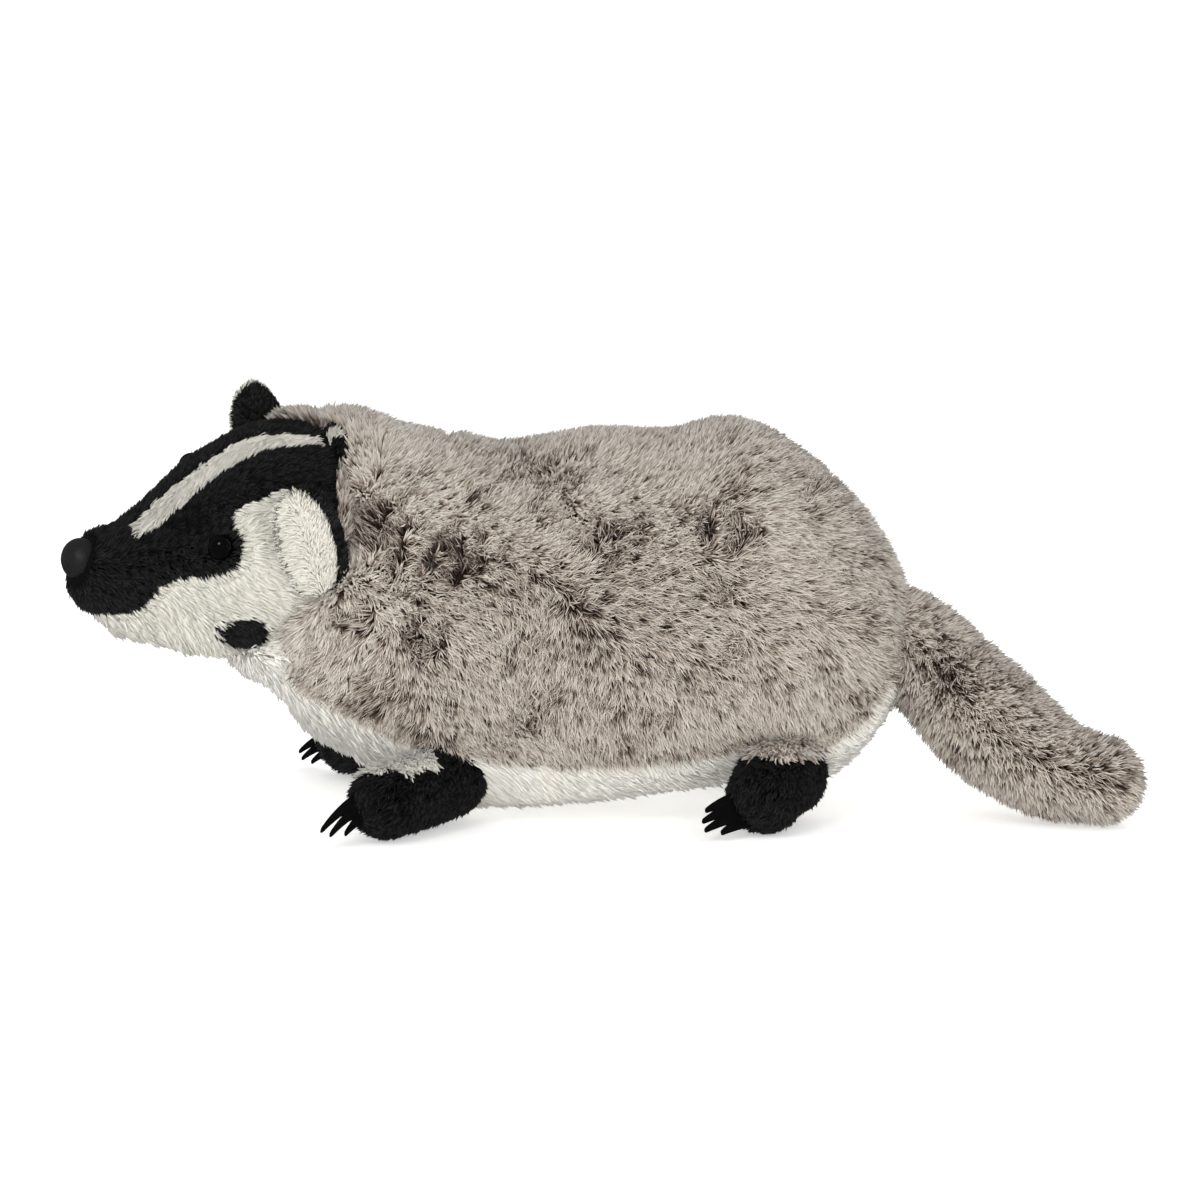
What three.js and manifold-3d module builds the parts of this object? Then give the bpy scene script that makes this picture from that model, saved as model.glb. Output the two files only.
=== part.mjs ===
// A stuffed plush badger at its real size, lying on its belly with its head turned and tilted a little.
// It is sewn from pile fabric: a grizzled back, neck and tail, a white belly, crown stripe and cheeks, and
// a black mask and feet. The nose and eyes are moulded, and the claws are cut from felt.
// Millimetres, +Z up, head towards -X, and the toy's left side towards -Y. Every form reaches out to the
// tips of its pile.
import * as THREE from "three";
import { mergeVertices } from "three/addons/utils/BufferGeometryUtils.js";
import Module from "manifold-3d";

const wasm = await Module();
wasm.setup();

// Driving sizes
const GAP = 0.3; // sewn pieces stay this far apart
const PATCH_DEPTH = 5; // how deep a fabric patch is let into the form under it
const ROOM = 400; // larger than the toy, for what trims the pieces

// Body form: distance along the toy, height of the middle, reach up, reach down, half width.
const BODY = {
  stations: [
    [-149, 80, 60, 42, 40],
    [-137, 80, 64, 36.5, 43],
    [-128, 80, 68, 34.5, 46],
    [-120, 80, 71, 40.5, 48],
    [-112, 80, 72, 51, 50],
    [-97, 79, 73, 60, 54],
    [-77, 77, 68, 69, 58],
    [-58, 75, 67, 74.3, 60],
    [-40, 74, 64.5, 74.8, 61],
    [-4, 73, 70.5, 71.5, 63],
    [24, 74, 69, 68.5, 63],
    [48, 75, 73, 67.5, 62],
    [84, 70, 69.5, 73, 60],
    [116, 67, 67, 70, 58],
  ],
  frontCap: 20,
  rearCap: 71,
  upperSquare: 2.15,
  lowerSquare: 2.4,
};

// Seam between the grizzled back and the white belly, from the throat to the rump.
const BELLY_SEAM = [
  [-132, 84],
  [-121, 76],
  [-118.5, 66],
  [-117, 57],
  [-112, 49],
  [-99, 43],
  [-85, 36],
  [-68, 29],
  [-45, 23],
  [-10, 21],
  [20, 23],
  [45, 27],
  [72, 27],
  [90, 31],
  [103, 46],
  [118, 72],
];

// The seam that joins the neck to the back, from the nape down.
const NECK_SEAM = [
  [-62, 180],
  [-62, 126],
  [-64, 108],
  [-73.5, 90],
  [-84.5, 71],
  [-91.5, 56],
  [-115, -20],
];

// Head frame: the middle of the seam at the back of the head, and how the head turns and tilts.
const HEAD_AT = [-107.5, 0, 100];
const HEAD_YAW = 15;
const HEAD_ROLL = 20;

// Head form in that frame, in the same columns as the body.
const HEAD = {
  stations: [
    [-95, -8, 19, 19, 17],
    [-83, -9.5, 16.8, 19, 19.5],
    [-75, -10, 17.8, 24, 21.5],
    [-68, -8, 19.2, 28.8, 25.5],
    [-60, -4, 21.3, 34.8, 30],
    [-52, -1, 26.2, 39.3, 36],
    [-44, 0, 32.7, 40.8, 41.5],
    [-34, 0, 40, 41, 45.5],
    [-22, 0, 45.6, 41, 48],
    [-8, 0, 45.6, 41, 48.5],
    [14, 0, 43, 40, 47],
  ],
  frontCap: 15,
  rearCap: 14,
  upperSquare: 2.4,
  lowerSquare: 2.2,
};

// Seam where the head meets the neck, in the head's side view, and the outline of the cheek patches.
const HEAD_SEAM = [
  [-2, 90],
  [-1, 47],
  [6, 38],
  [3, 22],
  [-5, 10],
  [-13, 0],
  [-19, -10],
  [-24, -20],
  [-33, -28],
  [-43, -35],
  [-52, -50],
  [-70, -70],
];
const CHEEK = [
  [-96, -34],
  [-84, -22],
  [-72, -18],
  [-66, -10],
  [-60, -1],
  [-50, 5],
  [-40, 9],
  [-34.5, 16],
  [-34.5, 23],
  [-38, 28.5],
  [-34, 31.5],
  [-27, 35],
  [-22, 37],
  [-18.5, 38],
  [-14, 33],
  [-10, 24],
  [-7, 12],
  [-4, 5],
  [3, 3],
];

// Crown stripe in the head's top view: distance along the head, how far it lies off the middle, half width.
const STRIPE = [
  [-72, -4.5, 4],
  [-67, -4.5, 7.4],
  [-56, -2, 7.4],
  [-34, -1, 7.6],
  [-18, -1.6, 6],
  [-6, -2.2, 4],
  [6, -3, 0.8],
];

// Moulded nose and eyes in the head frame.
const NOSE = { at: [-88.5, 0, -4.5], depth: 7.5, halfWidth: 9.5, halfHeight: 7.8, narrowing: 0.3 };
const NOSTRIL = { at: [-6, 4.8, -0.8], half: [2, 1.4, 1.7] };
const NOSE_NOTCH = { at: [-98, -4.5], depth: 8.5, halfHeight: 8.6 };
const EYE = { along: -43, angle: 28, radius: 4.8, sunk: 3.9 };

// Ears: an upright cupped flap on each side of the head, with a smaller lining on its outer face. The right
// one is sewn on a little further forward.
const EARS = {
  left: { sign: -1, at: [-12, 48, 24] },
  right: { sign: 1, at: [-15, 48, 21] },
};
const EAR = { halfLength: 12, halfHeight: 24, thick: 4, cup: 3, splay: 12, lean: 18 };
const LINING = { shrink: 1.6, thick: 3, ahead: 2.4, outwards: 3 };

// The dark badge low on each cheek.
const BADGE = { at: [-34, -17.5], halfLength: 10.5, halfHeight: 9.5, tilt: -14 };

// Each leg is a stuffed tube from the body down to the foot: its path, and its radii at both ends.
const LEGS = {
  front_left: { path: [[-58, -38, 17], [-69, -54, 15], [-79, -69, 14.2]], radii: [16, 15] },
  front_right: { path: [[-66, 34, 17], [-83, 47, 15], [-99, 60, 14.2]], radii: [16, 15] },
  hind_left: { path: [[66, -38, 18.5], [62, -47, 17.2], [58, -56, 14]], radii: [17, 15.5] },
  hind_right: { path: [[66, 38, 18.5], [62, 47, 17.2], [58, 56, 14]], radii: [17, 15.5] },
};

// Felt claws: a comb of tapered fingers sewn into the front of each foot, given by the place of its root,
// the way it points from straight ahead, how far it's tilted towards its outer side, the lengths of its
// fingers and how far the longest bends down.
const CLAWS = {
  front_left: { root: [-82.5, -72, 15.5], heading: 34, tilt: 62, lengths: [16.5, 22.5, 25.5], bend: 0.51 },
  front_right: { root: [-102, 62.5, 14], heading: -30, tilt: -62, lengths: [25, 25, 21], bend: 0.52 },
  hind_left: { root: [52, -61, 10.5], heading: 30, tilt: 62, lengths: [14.5, 21, 21, 18.5], bend: 0.25 },
  hind_right: { root: [52, 61, 10.5], heading: -30, tilt: -62, lengths: [18.5, 21, 21, 14.5], bend: 0.25 },
};
const CLAW = {
  width: 5, tip: 1.8, tipDrop: 0.7,
  thick: 1.8, thinning: 0.3, step: 3, fan: 1, web: 0.55,
};

// Tail: its path, its radii along that path, and how far along it the cross seam runs.
const TAIL = {
  path: [
    [92, 0, 70],
    [112.4, -2, 62.5],
    [126, -10, 51],
    [149.5, -26, 29.5],
    [166, -35, 20],
    [181, -42, 17.2],
  ],
  radii: [19, 21, 22.4, 23.6, 20.8, 17.8],
  seam: 0.37,
};

// Fineness of the meshes
const BODY_RINGS = 40;
const BODY_SIDES = 42;
const HEAD_RINGS = 30;
const HEAD_SIDES = 32;
const LIMB_RINGS = 14;
const LIMB_SIDES = 18;
const SMALL_RINGS = 10;
const SMALL_SIDES = 16;
const CLAW_STEPS = 6;

// Materials as the toy's fabrics show them
const FABRICS = {
  grizzle: new THREE.MeshStandardMaterial({ color: "#9a8d84", roughness: 0.95, metalness: 0 }),
  white: new THREE.MeshStandardMaterial({ color: "#dedacf", roughness: 0.95, metalness: 0 }),
  black: new THREE.MeshStandardMaterial({ color: "#151414", roughness: 0.9, metalness: 0 }),
  felt: new THREE.MeshStandardMaterial({ color: "#1a1818", roughness: 0.85, metalness: 0 }),
  moulded: new THREE.MeshStandardMaterial({ color: "#171616", roughness: 0.4, metalness: 0 }),
  bead: new THREE.MeshStandardMaterial({ color: "#070707", roughness: 0.08, metalness: 0 }),
};

// Value at x of a smooth line through rows of [x, value, ...], by cubic pieces with averaged slopes.
function through(rows, x, column = 1) {
  const last = rows.length - 1;
  const slope = (i) => (rows[i + 1][column] - rows[i][column]) / (rows[i + 1][0] - rows[i][0]);
  const tangent = (i) => (i === 0 ? slope(0) : i === last ? slope(last - 1) : (slope(i - 1) + slope(i)) / 2);
  let i = 0;
  while (i < last - 1 && x > rows[i + 1][0]) i += 1;
  const span = rows[i + 1][0] - rows[i][0];
  const t = Math.min(1, Math.max(0, (x - rows[i][0]) / span));
  const from = rows[i][column] * (1 + 2 * t) * (1 - t) ** 2 + tangent(i) * span * t * (1 - t) ** 2;
  const to = rows[i + 1][column] * t * t * (3 - 2 * t) - tangent(i + 1) * span * t * t * (1 - t);
  return from + to;
}

// Closed solid from rings of points: the first and last rings are single points.
function closedRings(rings, sides) {
  const points = rings.flat();
  const faces = [];
  const start = (ring) => (ring === 0 ? 0 : 1 + (ring - 1) * sides);
  for (let ring = 0; ring < rings.length - 1; ring += 1) {
    for (let side = 0; side < sides; side += 1) {
      const next = (side + 1) % sides;
      const a = start(ring) + (ring === 0 ? 0 : side);
      const b = start(ring) + (ring === 0 ? 0 : next);
      const c = start(ring + 1) + (ring === rings.length - 2 ? 0 : next);
      const d = start(ring + 1) + (ring === rings.length - 2 ? 0 : side);
      if (a !== b) faces.push(a, b, c);
      if (c !== d) faces.push(a, c, d);
    }
  }
  const geometry = new THREE.BufferGeometry();
  geometry.setAttribute("position", new THREE.Float32BufferAttribute(points.flatMap((p) => p.toArray()), 3));
  geometry.setIndex(faces);
  return solid(geometry);
}

// A geometry as a manifold solid with its faces turned outwards.
function solid(geometry) {
  const bare = new THREE.BufferGeometry();
  bare.setAttribute("position", geometry.getAttribute("position"));
  bare.setIndex(geometry.index);
  const merged = mergeVertices(bare, 1e-4);
  const triVerts = new Uint32Array(merged.index.array);
  const vertProperties = new Float32Array(merged.attributes.position.array);
  const made = new wasm.Manifold(new wasm.Mesh({ numProp: 3, vertProperties, triVerts }));
  if (made.volume() > 0) return made;
  for (let i = 0; i < triVerts.length; i += 3) {
    [triVerts[i + 1], triVerts[i + 2]] = [triVerts[i + 2], triVerts[i + 1]];
  }
  return new wasm.Manifold(new wasm.Mesh({ numProp: 3, vertProperties, triVerts }));
}

// Signed power, which squares a round section off a little.
function squared(value, square) {
  return Math.sign(value) * Math.abs(value) ** (2 / square);
}

// Point on a form at a distance along x and an angle round the section, grown outwards by grow. The
// sections are superellipses between two round ends.
function formPoint(form, x, angle, grow = 0) {
  const from = form.stations[0][0] - grow;
  const to = form.stations[form.stations.length - 1][0] + grow;
  const atFront = (from + form.frontCap - x) / form.frontCap;
  const atRear = (x - to + form.rearCap) / form.rearCap;
  const cap = Math.sqrt(Math.max(0, 1 - Math.max(atFront, atRear, 0) ** 2));
  const [middle, up, down, half] = [1, 2, 3, 4].map((column) => through(form.stations, x, column));
  const square = Math.sin(angle) > 0 ? form.upperSquare : form.lowerSquare;
  const reach = (Math.sin(angle) > 0 ? up : down) + grow;
  const across = (half + grow) * cap * squared(Math.cos(angle), square);
  return new THREE.Vector3(x, across, middle + reach * cap * squared(Math.sin(angle), square));
}

// A stuffed form along x, as a solid.
function stuffedForm(form, ringCount, sides, grow = 0) {
  const from = form.stations[0][0] - grow;
  const to = form.stations[form.stations.length - 1][0] + grow;
  const rings = [];
  for (let ring = 0; ring <= ringCount; ring += 1) {
    const x = from + ((to - from) * (1 - Math.cos((Math.PI * ring) / ringCount))) / 2;
    const count = ring === 0 || ring === ringCount ? 1 : sides;
    const angles = Array.from({ length: count }, (_, side) => (2 * Math.PI * side) / sides);
    rings.push(angles.map((angle) => formPoint(form, x, angle, grow)));
  }
  return closedRings(rings, sides);
}

// A stuffed tube along a path of points, with round ends and radii that change evenly along it.
function stuffedTube(path, radii, ringCount, sides, grow = 0) {
  const curve = new THREE.CatmullRomCurve3(path.map((p) => new THREE.Vector3(...p)));
  const length = curve.getLength();
  const rows = radii.map((radius, i) => [i / (radii.length - 1), radius]);
  const startRadius = radii[0] + grow;
  const endRadius = radii[radii.length - 1] + grow;
  const rings = [];
  for (let ring = 0; ring <= ringCount; ring += 1) {
    const share = (1 - Math.cos((Math.PI * ring) / ringCount)) / 2;
    const along = -startRadius + (length + startRadius + endRadius) * share;
    const t = Math.min(1, Math.max(0, along / length));
    const before = Math.max(0, -along);
    const after = Math.max(0, along - length);
    const cap = Math.sqrt(Math.max(0, 1 - (before / startRadius) ** 2 - (after / endRadius) ** 2));
    const tangent = curve.getTangentAt(t);
    const centre = curve.getPointAt(t).addScaledVector(tangent, after - before);
    const side = new THREE.Vector3(0, 0, 1).cross(tangent).normalize();
    const rise = tangent.clone().cross(side);
    if (ring === 0 || ring === ringCount) {
      rings.push([centre]);
      continue;
    }
    const radius = (through(rows, t) + grow) * cap;
    const points = [];
    for (let i = 0; i < sides; i += 1) {
      const angle = (2 * Math.PI * i) / sides;
      const point = centre.clone().addScaledVector(side, radius * Math.cos(angle));
      points.push(point.addScaledVector(rise, radius * Math.sin(angle)));
    }
    rings.push(points);
  }
  return closedRings(rings, sides);
}

// A line of [x, z] points moved by grow to the left of its direction of travel.
function movedLine(line, grow) {
  return line.map(([x, z], i) => {
    const before = line[Math.max(0, i - 1)];
    const after = line[Math.min(line.length - 1, i + 1)];
    const way = new THREE.Vector2(after[0] - before[0], after[1] - before[1]).normalize();
    return [x - way.y * grow, z + way.x * grow];
  });
}

// The region to the right of a smooth line through [x, z] points, grown by grow, closed by straight lines
// through the corners and carried right across the toy.
function regionBeside(line, corners, grow = 0) {
  const points = movedLine(line, grow).map(([x, z]) => new THREE.Vector3(x, z, 0));
  const curve = new THREE.CatmullRomCurve3(points);
  const smooth = curve.getSpacedPoints(line.length * 2).map((p) => new THREE.Vector2(p.x, p.y));
  const shape = new THREE.Shape([...smooth, ...corners.map(([x, z]) => new THREE.Vector2(x, z))]);
  const geometry = new THREE.ExtrudeGeometry(shape, { depth: ROOM, bevelEnabled: false });
  geometry.translate(0, 0, -ROOM / 2);
  geometry.rotateX(Math.PI / 2);
  return solid(geometry);
}

// An upright block between two corners.
function block(low, high) {
  const geometry = new THREE.BoxGeometry(high[0] - low[0], high[1] - low[1], high[2] - low[2]);
  geometry.translate(...[0, 1, 2].map((i) => (low[i] + high[i]) / 2));
  return solid(geometry);
}

// A solid moved from the head frame into the toy's: rolled, turned and set at the end of the neck.
function inPlace(piece) {
  const [roll, yaw] = [HEAD_ROLL, HEAD_YAW].map(THREE.MathUtils.degToRad);
  const turn = new THREE.Euler(roll, 0, yaw, "ZYX");
  return piece.transform(new THREE.Matrix4().makeRotationFromEuler(turn).setPosition(...HEAD_AT).elements);
}

// The part of a solid that keeps most of its volume, where a cut has left scraps.
const largest = (piece) => piece.decompose().reduce((a, b) => (b.volume() > a.volume() ? b : a));

// The region in front of a seam that runs from the top down.
const aheadOf = (seam, grow) => regionBeside(seam, [[-ROOM, seam.at(-1)[1]], [-ROOM, seam[0][1]]], grow);

// The region under a line that runs from the front back.
function under(line, grow) {
  const [front, rear] = [line[0], line.at(-1)];
  return regionBeside(line, [[rear[0], -ROOM], [-ROOM, -ROOM], [-ROOM, front[1] + grow]], grow);
}

// The region of the cheeks, under their line and back to the seam of the head.
function cheekRegion(grow) {
  const [front, rear] = [CHEEK[0], CHEEK.at(-1)];
  return regionBeside(CHEEK, [[ROOM, rear[1] + grow], [ROOM, -ROOM], [front[0], -ROOM]], grow);
}

// Crown stripe's region in the head frame, seen from above.
function stripeRegion(grow) {
  const far = STRIPE.map(([x, middle, half]) => [x, middle + half]);
  const near = STRIPE.map(([x, middle, half]) => [x, middle - half]).reverse();
  const line = movedLine([...far, ...near], grow).map(([x, y]) => new THREE.Vector2(x, y));
  return solid(new THREE.ExtrudeGeometry(new THREE.Shape(line), { depth: ROOM, bevelEnabled: false }));
}

// Badge's region on both sides of the head, an oval seen from the side.
function badgeRegion(grow) {
  const round = new THREE.CylinderGeometry(1, 1, ROOM, 20);
  round.scale(BADGE.halfLength + grow, 1, BADGE.halfHeight + grow);
  round.rotateY(THREE.MathUtils.degToRad(BADGE.tilt));
  round.translate(BADGE.at[0], 0, BADGE.at[1]);
  return solid(round);
}

// Notch across the muzzle's front that leaves the nose clear.
function noseNotch() {
  const notch = new THREE.CylinderGeometry(1, 1, ROOM, 24);
  notch.scale(NOSE_NOTCH.depth, 1, NOSE_NOTCH.halfHeight);
  notch.translate(NOSE_NOTCH.at[0], 0, NOSE_NOTCH.at[1]);
  return solid(notch);
}

// Head, with its patches let in: the black mask, the white crown stripe, the cheeks and the dark badges.
function headPieces() {
  const form = stuffedForm(HEAD, HEAD_RINGS, HEAD_SIDES);
  const whole = form.intersect(aheadOf(HEAD_SEAM, 0)).subtract(noseNotch());
  const core = stuffedForm(HEAD, HEAD_RINGS / 2, HEAD_SIDES / 2, -PATCH_DEPTH);
  const deeper = stuffedForm(HEAD, HEAD_RINGS / 2, HEAD_SIDES / 2, -PATCH_DEPTH - 2 * GAP);
  const shell = whole.subtract(core);
  const badges = shell.intersect(badgeRegion(0));
  const side = (sign) => block([-ROOM, sign > 0 ? 0 : -ROOM, -ROOM], [ROOM, sign > 0 ? ROOM : 0, ROOM]);
  return {
    head: whole.subtract(cheekRegion(GAP).add(stripeRegion(GAP)).subtract(deeper)),
    crown_stripe: shell.intersect(stripeRegion(0)),
    cheeks: shell.intersect(cheekRegion(0)).subtract(badgeRegion(GAP)),
    badge_left: badges.intersect(side(-1)),
    badge_right: badges.intersect(side(1)),
  };
}

// Nose: a moulded dome, wide above and narrow below, with a nostril pressed into each side.
function nose(grow = 0) {
  const rings = [];
  for (let ring = 0; ring <= SMALL_RINGS; ring += 1) {
    const polar = (Math.PI * ring) / SMALL_RINGS;
    const count = ring === 0 || ring === SMALL_RINGS ? 1 : SMALL_SIDES;
    const points = Array.from({ length: count }, (_, side) => {
      const angle = (2 * Math.PI * side) / SMALL_SIDES;
      const up = Math.sin(angle) * Math.sin(polar);
      const narrow = 1 - NOSE.narrowing * Math.max(0, -up);
      const across = Math.cos(angle) * Math.sin(polar) * narrow * (NOSE.halfWidth + grow);
      const ahead = Math.cos(polar) * (NOSE.depth + grow);
      return new THREE.Vector3(-ahead, across, up * (NOSE.halfHeight + grow));
    });
    rings.push(points);
  }
  const dome = closedRings(rings, SMALL_SIDES).translate(NOSE.at);
  const nostril = (sign) => {
    const pit = new THREE.SphereGeometry(1, 10, 6);
    pit.scale(...NOSTRIL.half);
    pit.translate(NOSTRIL.at[0], sign * NOSTRIL.at[1], NOSTRIL.at[2]);
    return solid(pit).translate(NOSE.at);
  };
  return grow > 0 ? dome : dome.subtract(nostril(1)).subtract(nostril(-1));
}

// Eye: a bead set into the head so that only its front shows.
function eye(sign, grow = 0) {
  const surface = formPoint(HEAD, EYE.along, THREE.MathUtils.degToRad(EYE.angle));
  const middle = new THREE.Vector3(EYE.along, 0, through(HEAD.stations, EYE.along));
  const centre = surface.clone().addScaledVector(surface.clone().sub(middle).normalize(), -EYE.sunk);
  const bead = new THREE.SphereGeometry(EYE.radius + grow, SMALL_SIDES, SMALL_RINGS);
  bead.translate(centre.x, sign * centre.y, centre.z);
  return solid(bead);
}

// One cupped layer of an ear, set at a slant to the side of the head.
function earLayer({ sign, at }, { shrink, thick, ahead, outwards }, grow = 0) {
  const layer = new THREE.SphereGeometry(1, SMALL_SIDES + 4, SMALL_RINGS + 2);
  layer.rotateX(Math.PI / 2);
  layer.scale(EAR.halfLength - shrink + grow, thick + grow, EAR.halfHeight - shrink + grow);
  const place = layer.getAttribute("position");
  for (let i = 0; i < place.count; i += 1) {
    const from = (place.getX(i) / EAR.halfLength) ** 2 + (place.getZ(i) / EAR.halfHeight) ** 2;
    place.setY(i, place.getY(i) + outwards + EAR.cup * (from - 1));
  }
  layer.translate(-ahead, 0, 0);
  layer.rotateY(THREE.MathUtils.degToRad(-EAR.lean));
  layer.rotateZ(THREE.MathUtils.degToRad(EAR.splay));
  layer.translate(...at);
  const placed = solid(layer);
  return sign > 0 ? placed : placed.mirror([0, 1, 0]);
}

// One foot's claws: a comb of fingers from one strip, tilted on edge and bent down in its own plane.
function claws({ root, heading, tilt, lengths, bend }) {
  const down = -Math.sign(tilt);
  const flatRing = (length, t, half) => {
    const thick = (CLAW.thick * (1 - CLAW.thinning * t)) / 2;
    const middle = down * bend * length * (0.4 * t + 0.6 * t * t);
    return [[-half, -thick], [half, -thick], [half, thick], [-half, thick]]
      .map(([across, up]) => new THREE.Vector3(-length * t, across + middle, up));
  };
  const startsAt = [new THREE.Vector3(0, 0, 0)];
  const endsPast = (ring, beyond) => [new THREE.Vector3(ring[0].x - beyond, (ring[0].y + ring[1].y) / 2, 0)];
  const wide = (CLAW.step * (lengths.length - 1) + CLAW.width) / 2;
  const shortest = Math.min(...lengths);
  const strip = [flatRing(shortest, 0, wide), flatRing(shortest, CLAW.web, wide)];
  const combs = [closedRings([startsAt, ...strip, endsPast(strip[1], CLAW.tipDrop)], 4)];
  for (let i = 0; i < lengths.length; i += 1) {
    const place = i - (lengths.length - 1) / 2;
    const rings = [];
    for (let step = 0; step <= CLAW_STEPS; step += 1) {
      const t = step / CLAW_STEPS;
      rings.push(flatRing(lengths[i], t, (CLAW.width + (CLAW.tip - CLAW.width) * t ** 2) / 2));
    }
    const finger = closedRings([startsAt, ...rings, endsPast(rings[CLAW_STEPS], CLAW.tipDrop)], 4);
    combs.push(finger.rotate([0, 0, -CLAW.fan * place]).translate([0, CLAW.step * place, 0]));
  }
  return wasm.Manifold.union(combs).rotate([tilt, 0, 0]).rotate([0, 0, heading]).translate(root);
}

// Body, parted into the neck, the back and the white belly.
const aboveFloor = block([-ROOM, -ROOM, 0], [ROOM, ROOM, ROOM]);
const headRegion = inPlace(aheadOf(HEAD_SEAM, GAP));
const body = stuffedForm(BODY, BODY_RINGS, BODY_SIDES).intersect(aboveFloor).subtract(headRegion);
const bodyRoom = stuffedForm(BODY, BODY_RINGS, BODY_SIDES, GAP);
const upperBody = body.subtract(under(BELLY_SEAM, GAP));

// Tail, parted at its cross seam.
const tailForm = stuffedTube(TAIL.path, TAIL.radii, LIMB_RINGS * 2, LIMB_SIDES + 4);
const tail = largest(tailForm.intersect(aboveFloor).subtract(bodyRoom));
const tailBaseRegion = (grow) => {
  const curve = new THREE.CatmullRomCurve3(TAIL.path.map((p) => new THREE.Vector3(...p)));
  const slab = new THREE.BoxGeometry(ROOM, ROOM, ROOM);
  slab.translate(grow - ROOM / 2, 0, 0);
  const way = curve.getTangentAt(TAIL.seam);
  slab.applyQuaternion(new THREE.Quaternion().setFromUnitVectors(new THREE.Vector3(1, 0, 0), way));
  slab.translate(...curve.getPointAt(TAIL.seam).toArray());
  return solid(slab);
};

// All pieces, each with its fabric
const pieces = {
  torso: [upperBody.subtract(aheadOf(NECK_SEAM, GAP)), "grizzle"],
  neck: [upperBody.intersect(aheadOf(NECK_SEAM, 0)), "grizzle"],
  belly: [body.intersect(under(BELLY_SEAM, 0)), "white"],
  tail_base: [tail.intersect(tailBaseRegion(0)), "grizzle"],
  tail: [tail.subtract(tailBaseRegion(GAP)), "grizzle"],
  nose: [inPlace(nose()), "moulded"],
};
for (const [name, piece] of Object.entries(headPieces())) {
  const clear = piece.subtract(nose(GAP)).subtract(eye(1, GAP)).subtract(eye(-1, GAP));
  pieces[name] = [inPlace(clear), name === "cheeks" || name === "crown_stripe" ? "white" : "black"];
}
const headRoom = inPlace(stuffedForm(HEAD, HEAD_RINGS, HEAD_SIDES, GAP));
for (const [side, ear] of Object.entries(EARS)) {
  const lining = (grow) => inPlace(earLayer(ear, LINING, grow));
  const flap = { shrink: 0, thick: EAR.thick, ahead: 0, outwards: 0 };
  const backing = inPlace(earLayer(ear, flap)).subtract(lining(GAP));
  const clearOfHead = (piece) => piece.subtract(headRoom).subtract(bodyRoom);
  pieces[`ear_${side}`] = [clearOfHead(backing), "black"];
  pieces[`ear_${side}_lining`] = [clearOfHead(lining(0)), "white"];
  pieces[`eye_${side}`] = [inPlace(eye(ear.sign)), "bead"];
}
for (const [name, leg] of Object.entries(LEGS)) {
  const tube = (grow) => stuffedTube(leg.path, leg.radii, LIMB_RINGS, LIMB_SIDES, grow);
  pieces[`leg_${name}`] = [tube(0).intersect(aboveFloor).subtract(bodyRoom), "black"];
  pieces[`claws_${name}`] = [claws(CLAWS[name]).subtract(tube(GAP)).intersect(aboveFloor), "felt"];
}

// The toy stands with the middle of its length and width over the origin.
const toy = new THREE.Group();
for (const [name, [piece, fabric]] of Object.entries(pieces)) {
  const { vertProperties, triVerts } = largest(piece).getMesh();
  const geometry = new THREE.BufferGeometry();
  geometry.setAttribute("position", new THREE.Float32BufferAttribute(vertProperties, 3));
  geometry.setIndex(new THREE.Uint32BufferAttribute(triVerts, 1));
  geometry.computeVertexNormals();
  const mesh = new THREE.Mesh(geometry, FABRICS[fabric]);
  mesh.name = name;
  toy.add(mesh);
}
const centre = new THREE.Box3().setFromObject(toy).getCenter(new THREE.Vector3());
toy.position.set(-centre.x, -centre.y, 0);
export default toy;
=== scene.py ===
"""A stuffed plush badger on a pale floor: its sewn shells, the pile that stands on them, its moulded nose and
eyes and its felt claws. Sizes are in millimetres, with the head towards -X, and become metres in the mesh."""

from types import SimpleNamespace as Coat

import bpy
import numpy as np
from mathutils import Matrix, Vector
from numpy.linalg import norm


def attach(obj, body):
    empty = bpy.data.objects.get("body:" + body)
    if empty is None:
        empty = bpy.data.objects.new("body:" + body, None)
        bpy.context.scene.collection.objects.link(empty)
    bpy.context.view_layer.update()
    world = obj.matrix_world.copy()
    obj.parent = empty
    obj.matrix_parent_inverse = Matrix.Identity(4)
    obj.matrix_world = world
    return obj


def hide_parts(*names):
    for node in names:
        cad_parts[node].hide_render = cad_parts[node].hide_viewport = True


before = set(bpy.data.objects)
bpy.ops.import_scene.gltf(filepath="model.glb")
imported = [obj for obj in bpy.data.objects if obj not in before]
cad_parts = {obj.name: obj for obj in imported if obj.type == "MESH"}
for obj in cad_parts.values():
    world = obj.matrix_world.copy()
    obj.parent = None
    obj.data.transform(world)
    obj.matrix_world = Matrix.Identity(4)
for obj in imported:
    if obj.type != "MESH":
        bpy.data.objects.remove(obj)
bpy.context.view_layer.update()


# Body shell. The real one is cut from knitted fabric with a long grizzled pile over the back and neck and a
# short white pile under the belly, sewn together and stuffed with fibre. This is the backing of that fabric,
# and the pile stands on it further on.
MIDDLE = np.array([1.0983, 4.8956, 0])  # brings the middle of the toy over the origin
BODY = {
    "stations": [  # along the toy, middle height, reach up, reach down, half width
        [-149, 80, 60, 42, 40], [-137, 80, 64, 36.5, 43], [-128, 80, 68, 34.5, 46],
        [-120, 80, 71, 40.5, 48], [-112, 80, 72, 51, 50], [-97, 79, 73, 60, 54], [-77, 77, 68, 69, 58],
        [-58, 75, 67, 74.3, 60], [-40, 74, 64.5, 74.8, 61], [-4, 73, 70.5, 71.5, 63],
        [24, 74, 69, 68.5, 63], [48, 75, 73, 67.5, 62], [84, 70, 69.5, 73, 60], [116, 67, 67, 70, 58],
    ],
    "front_cap": 20, "rear_cap": 71, "upper_square": 2.15, "lower_square": 2.4,
}
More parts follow.
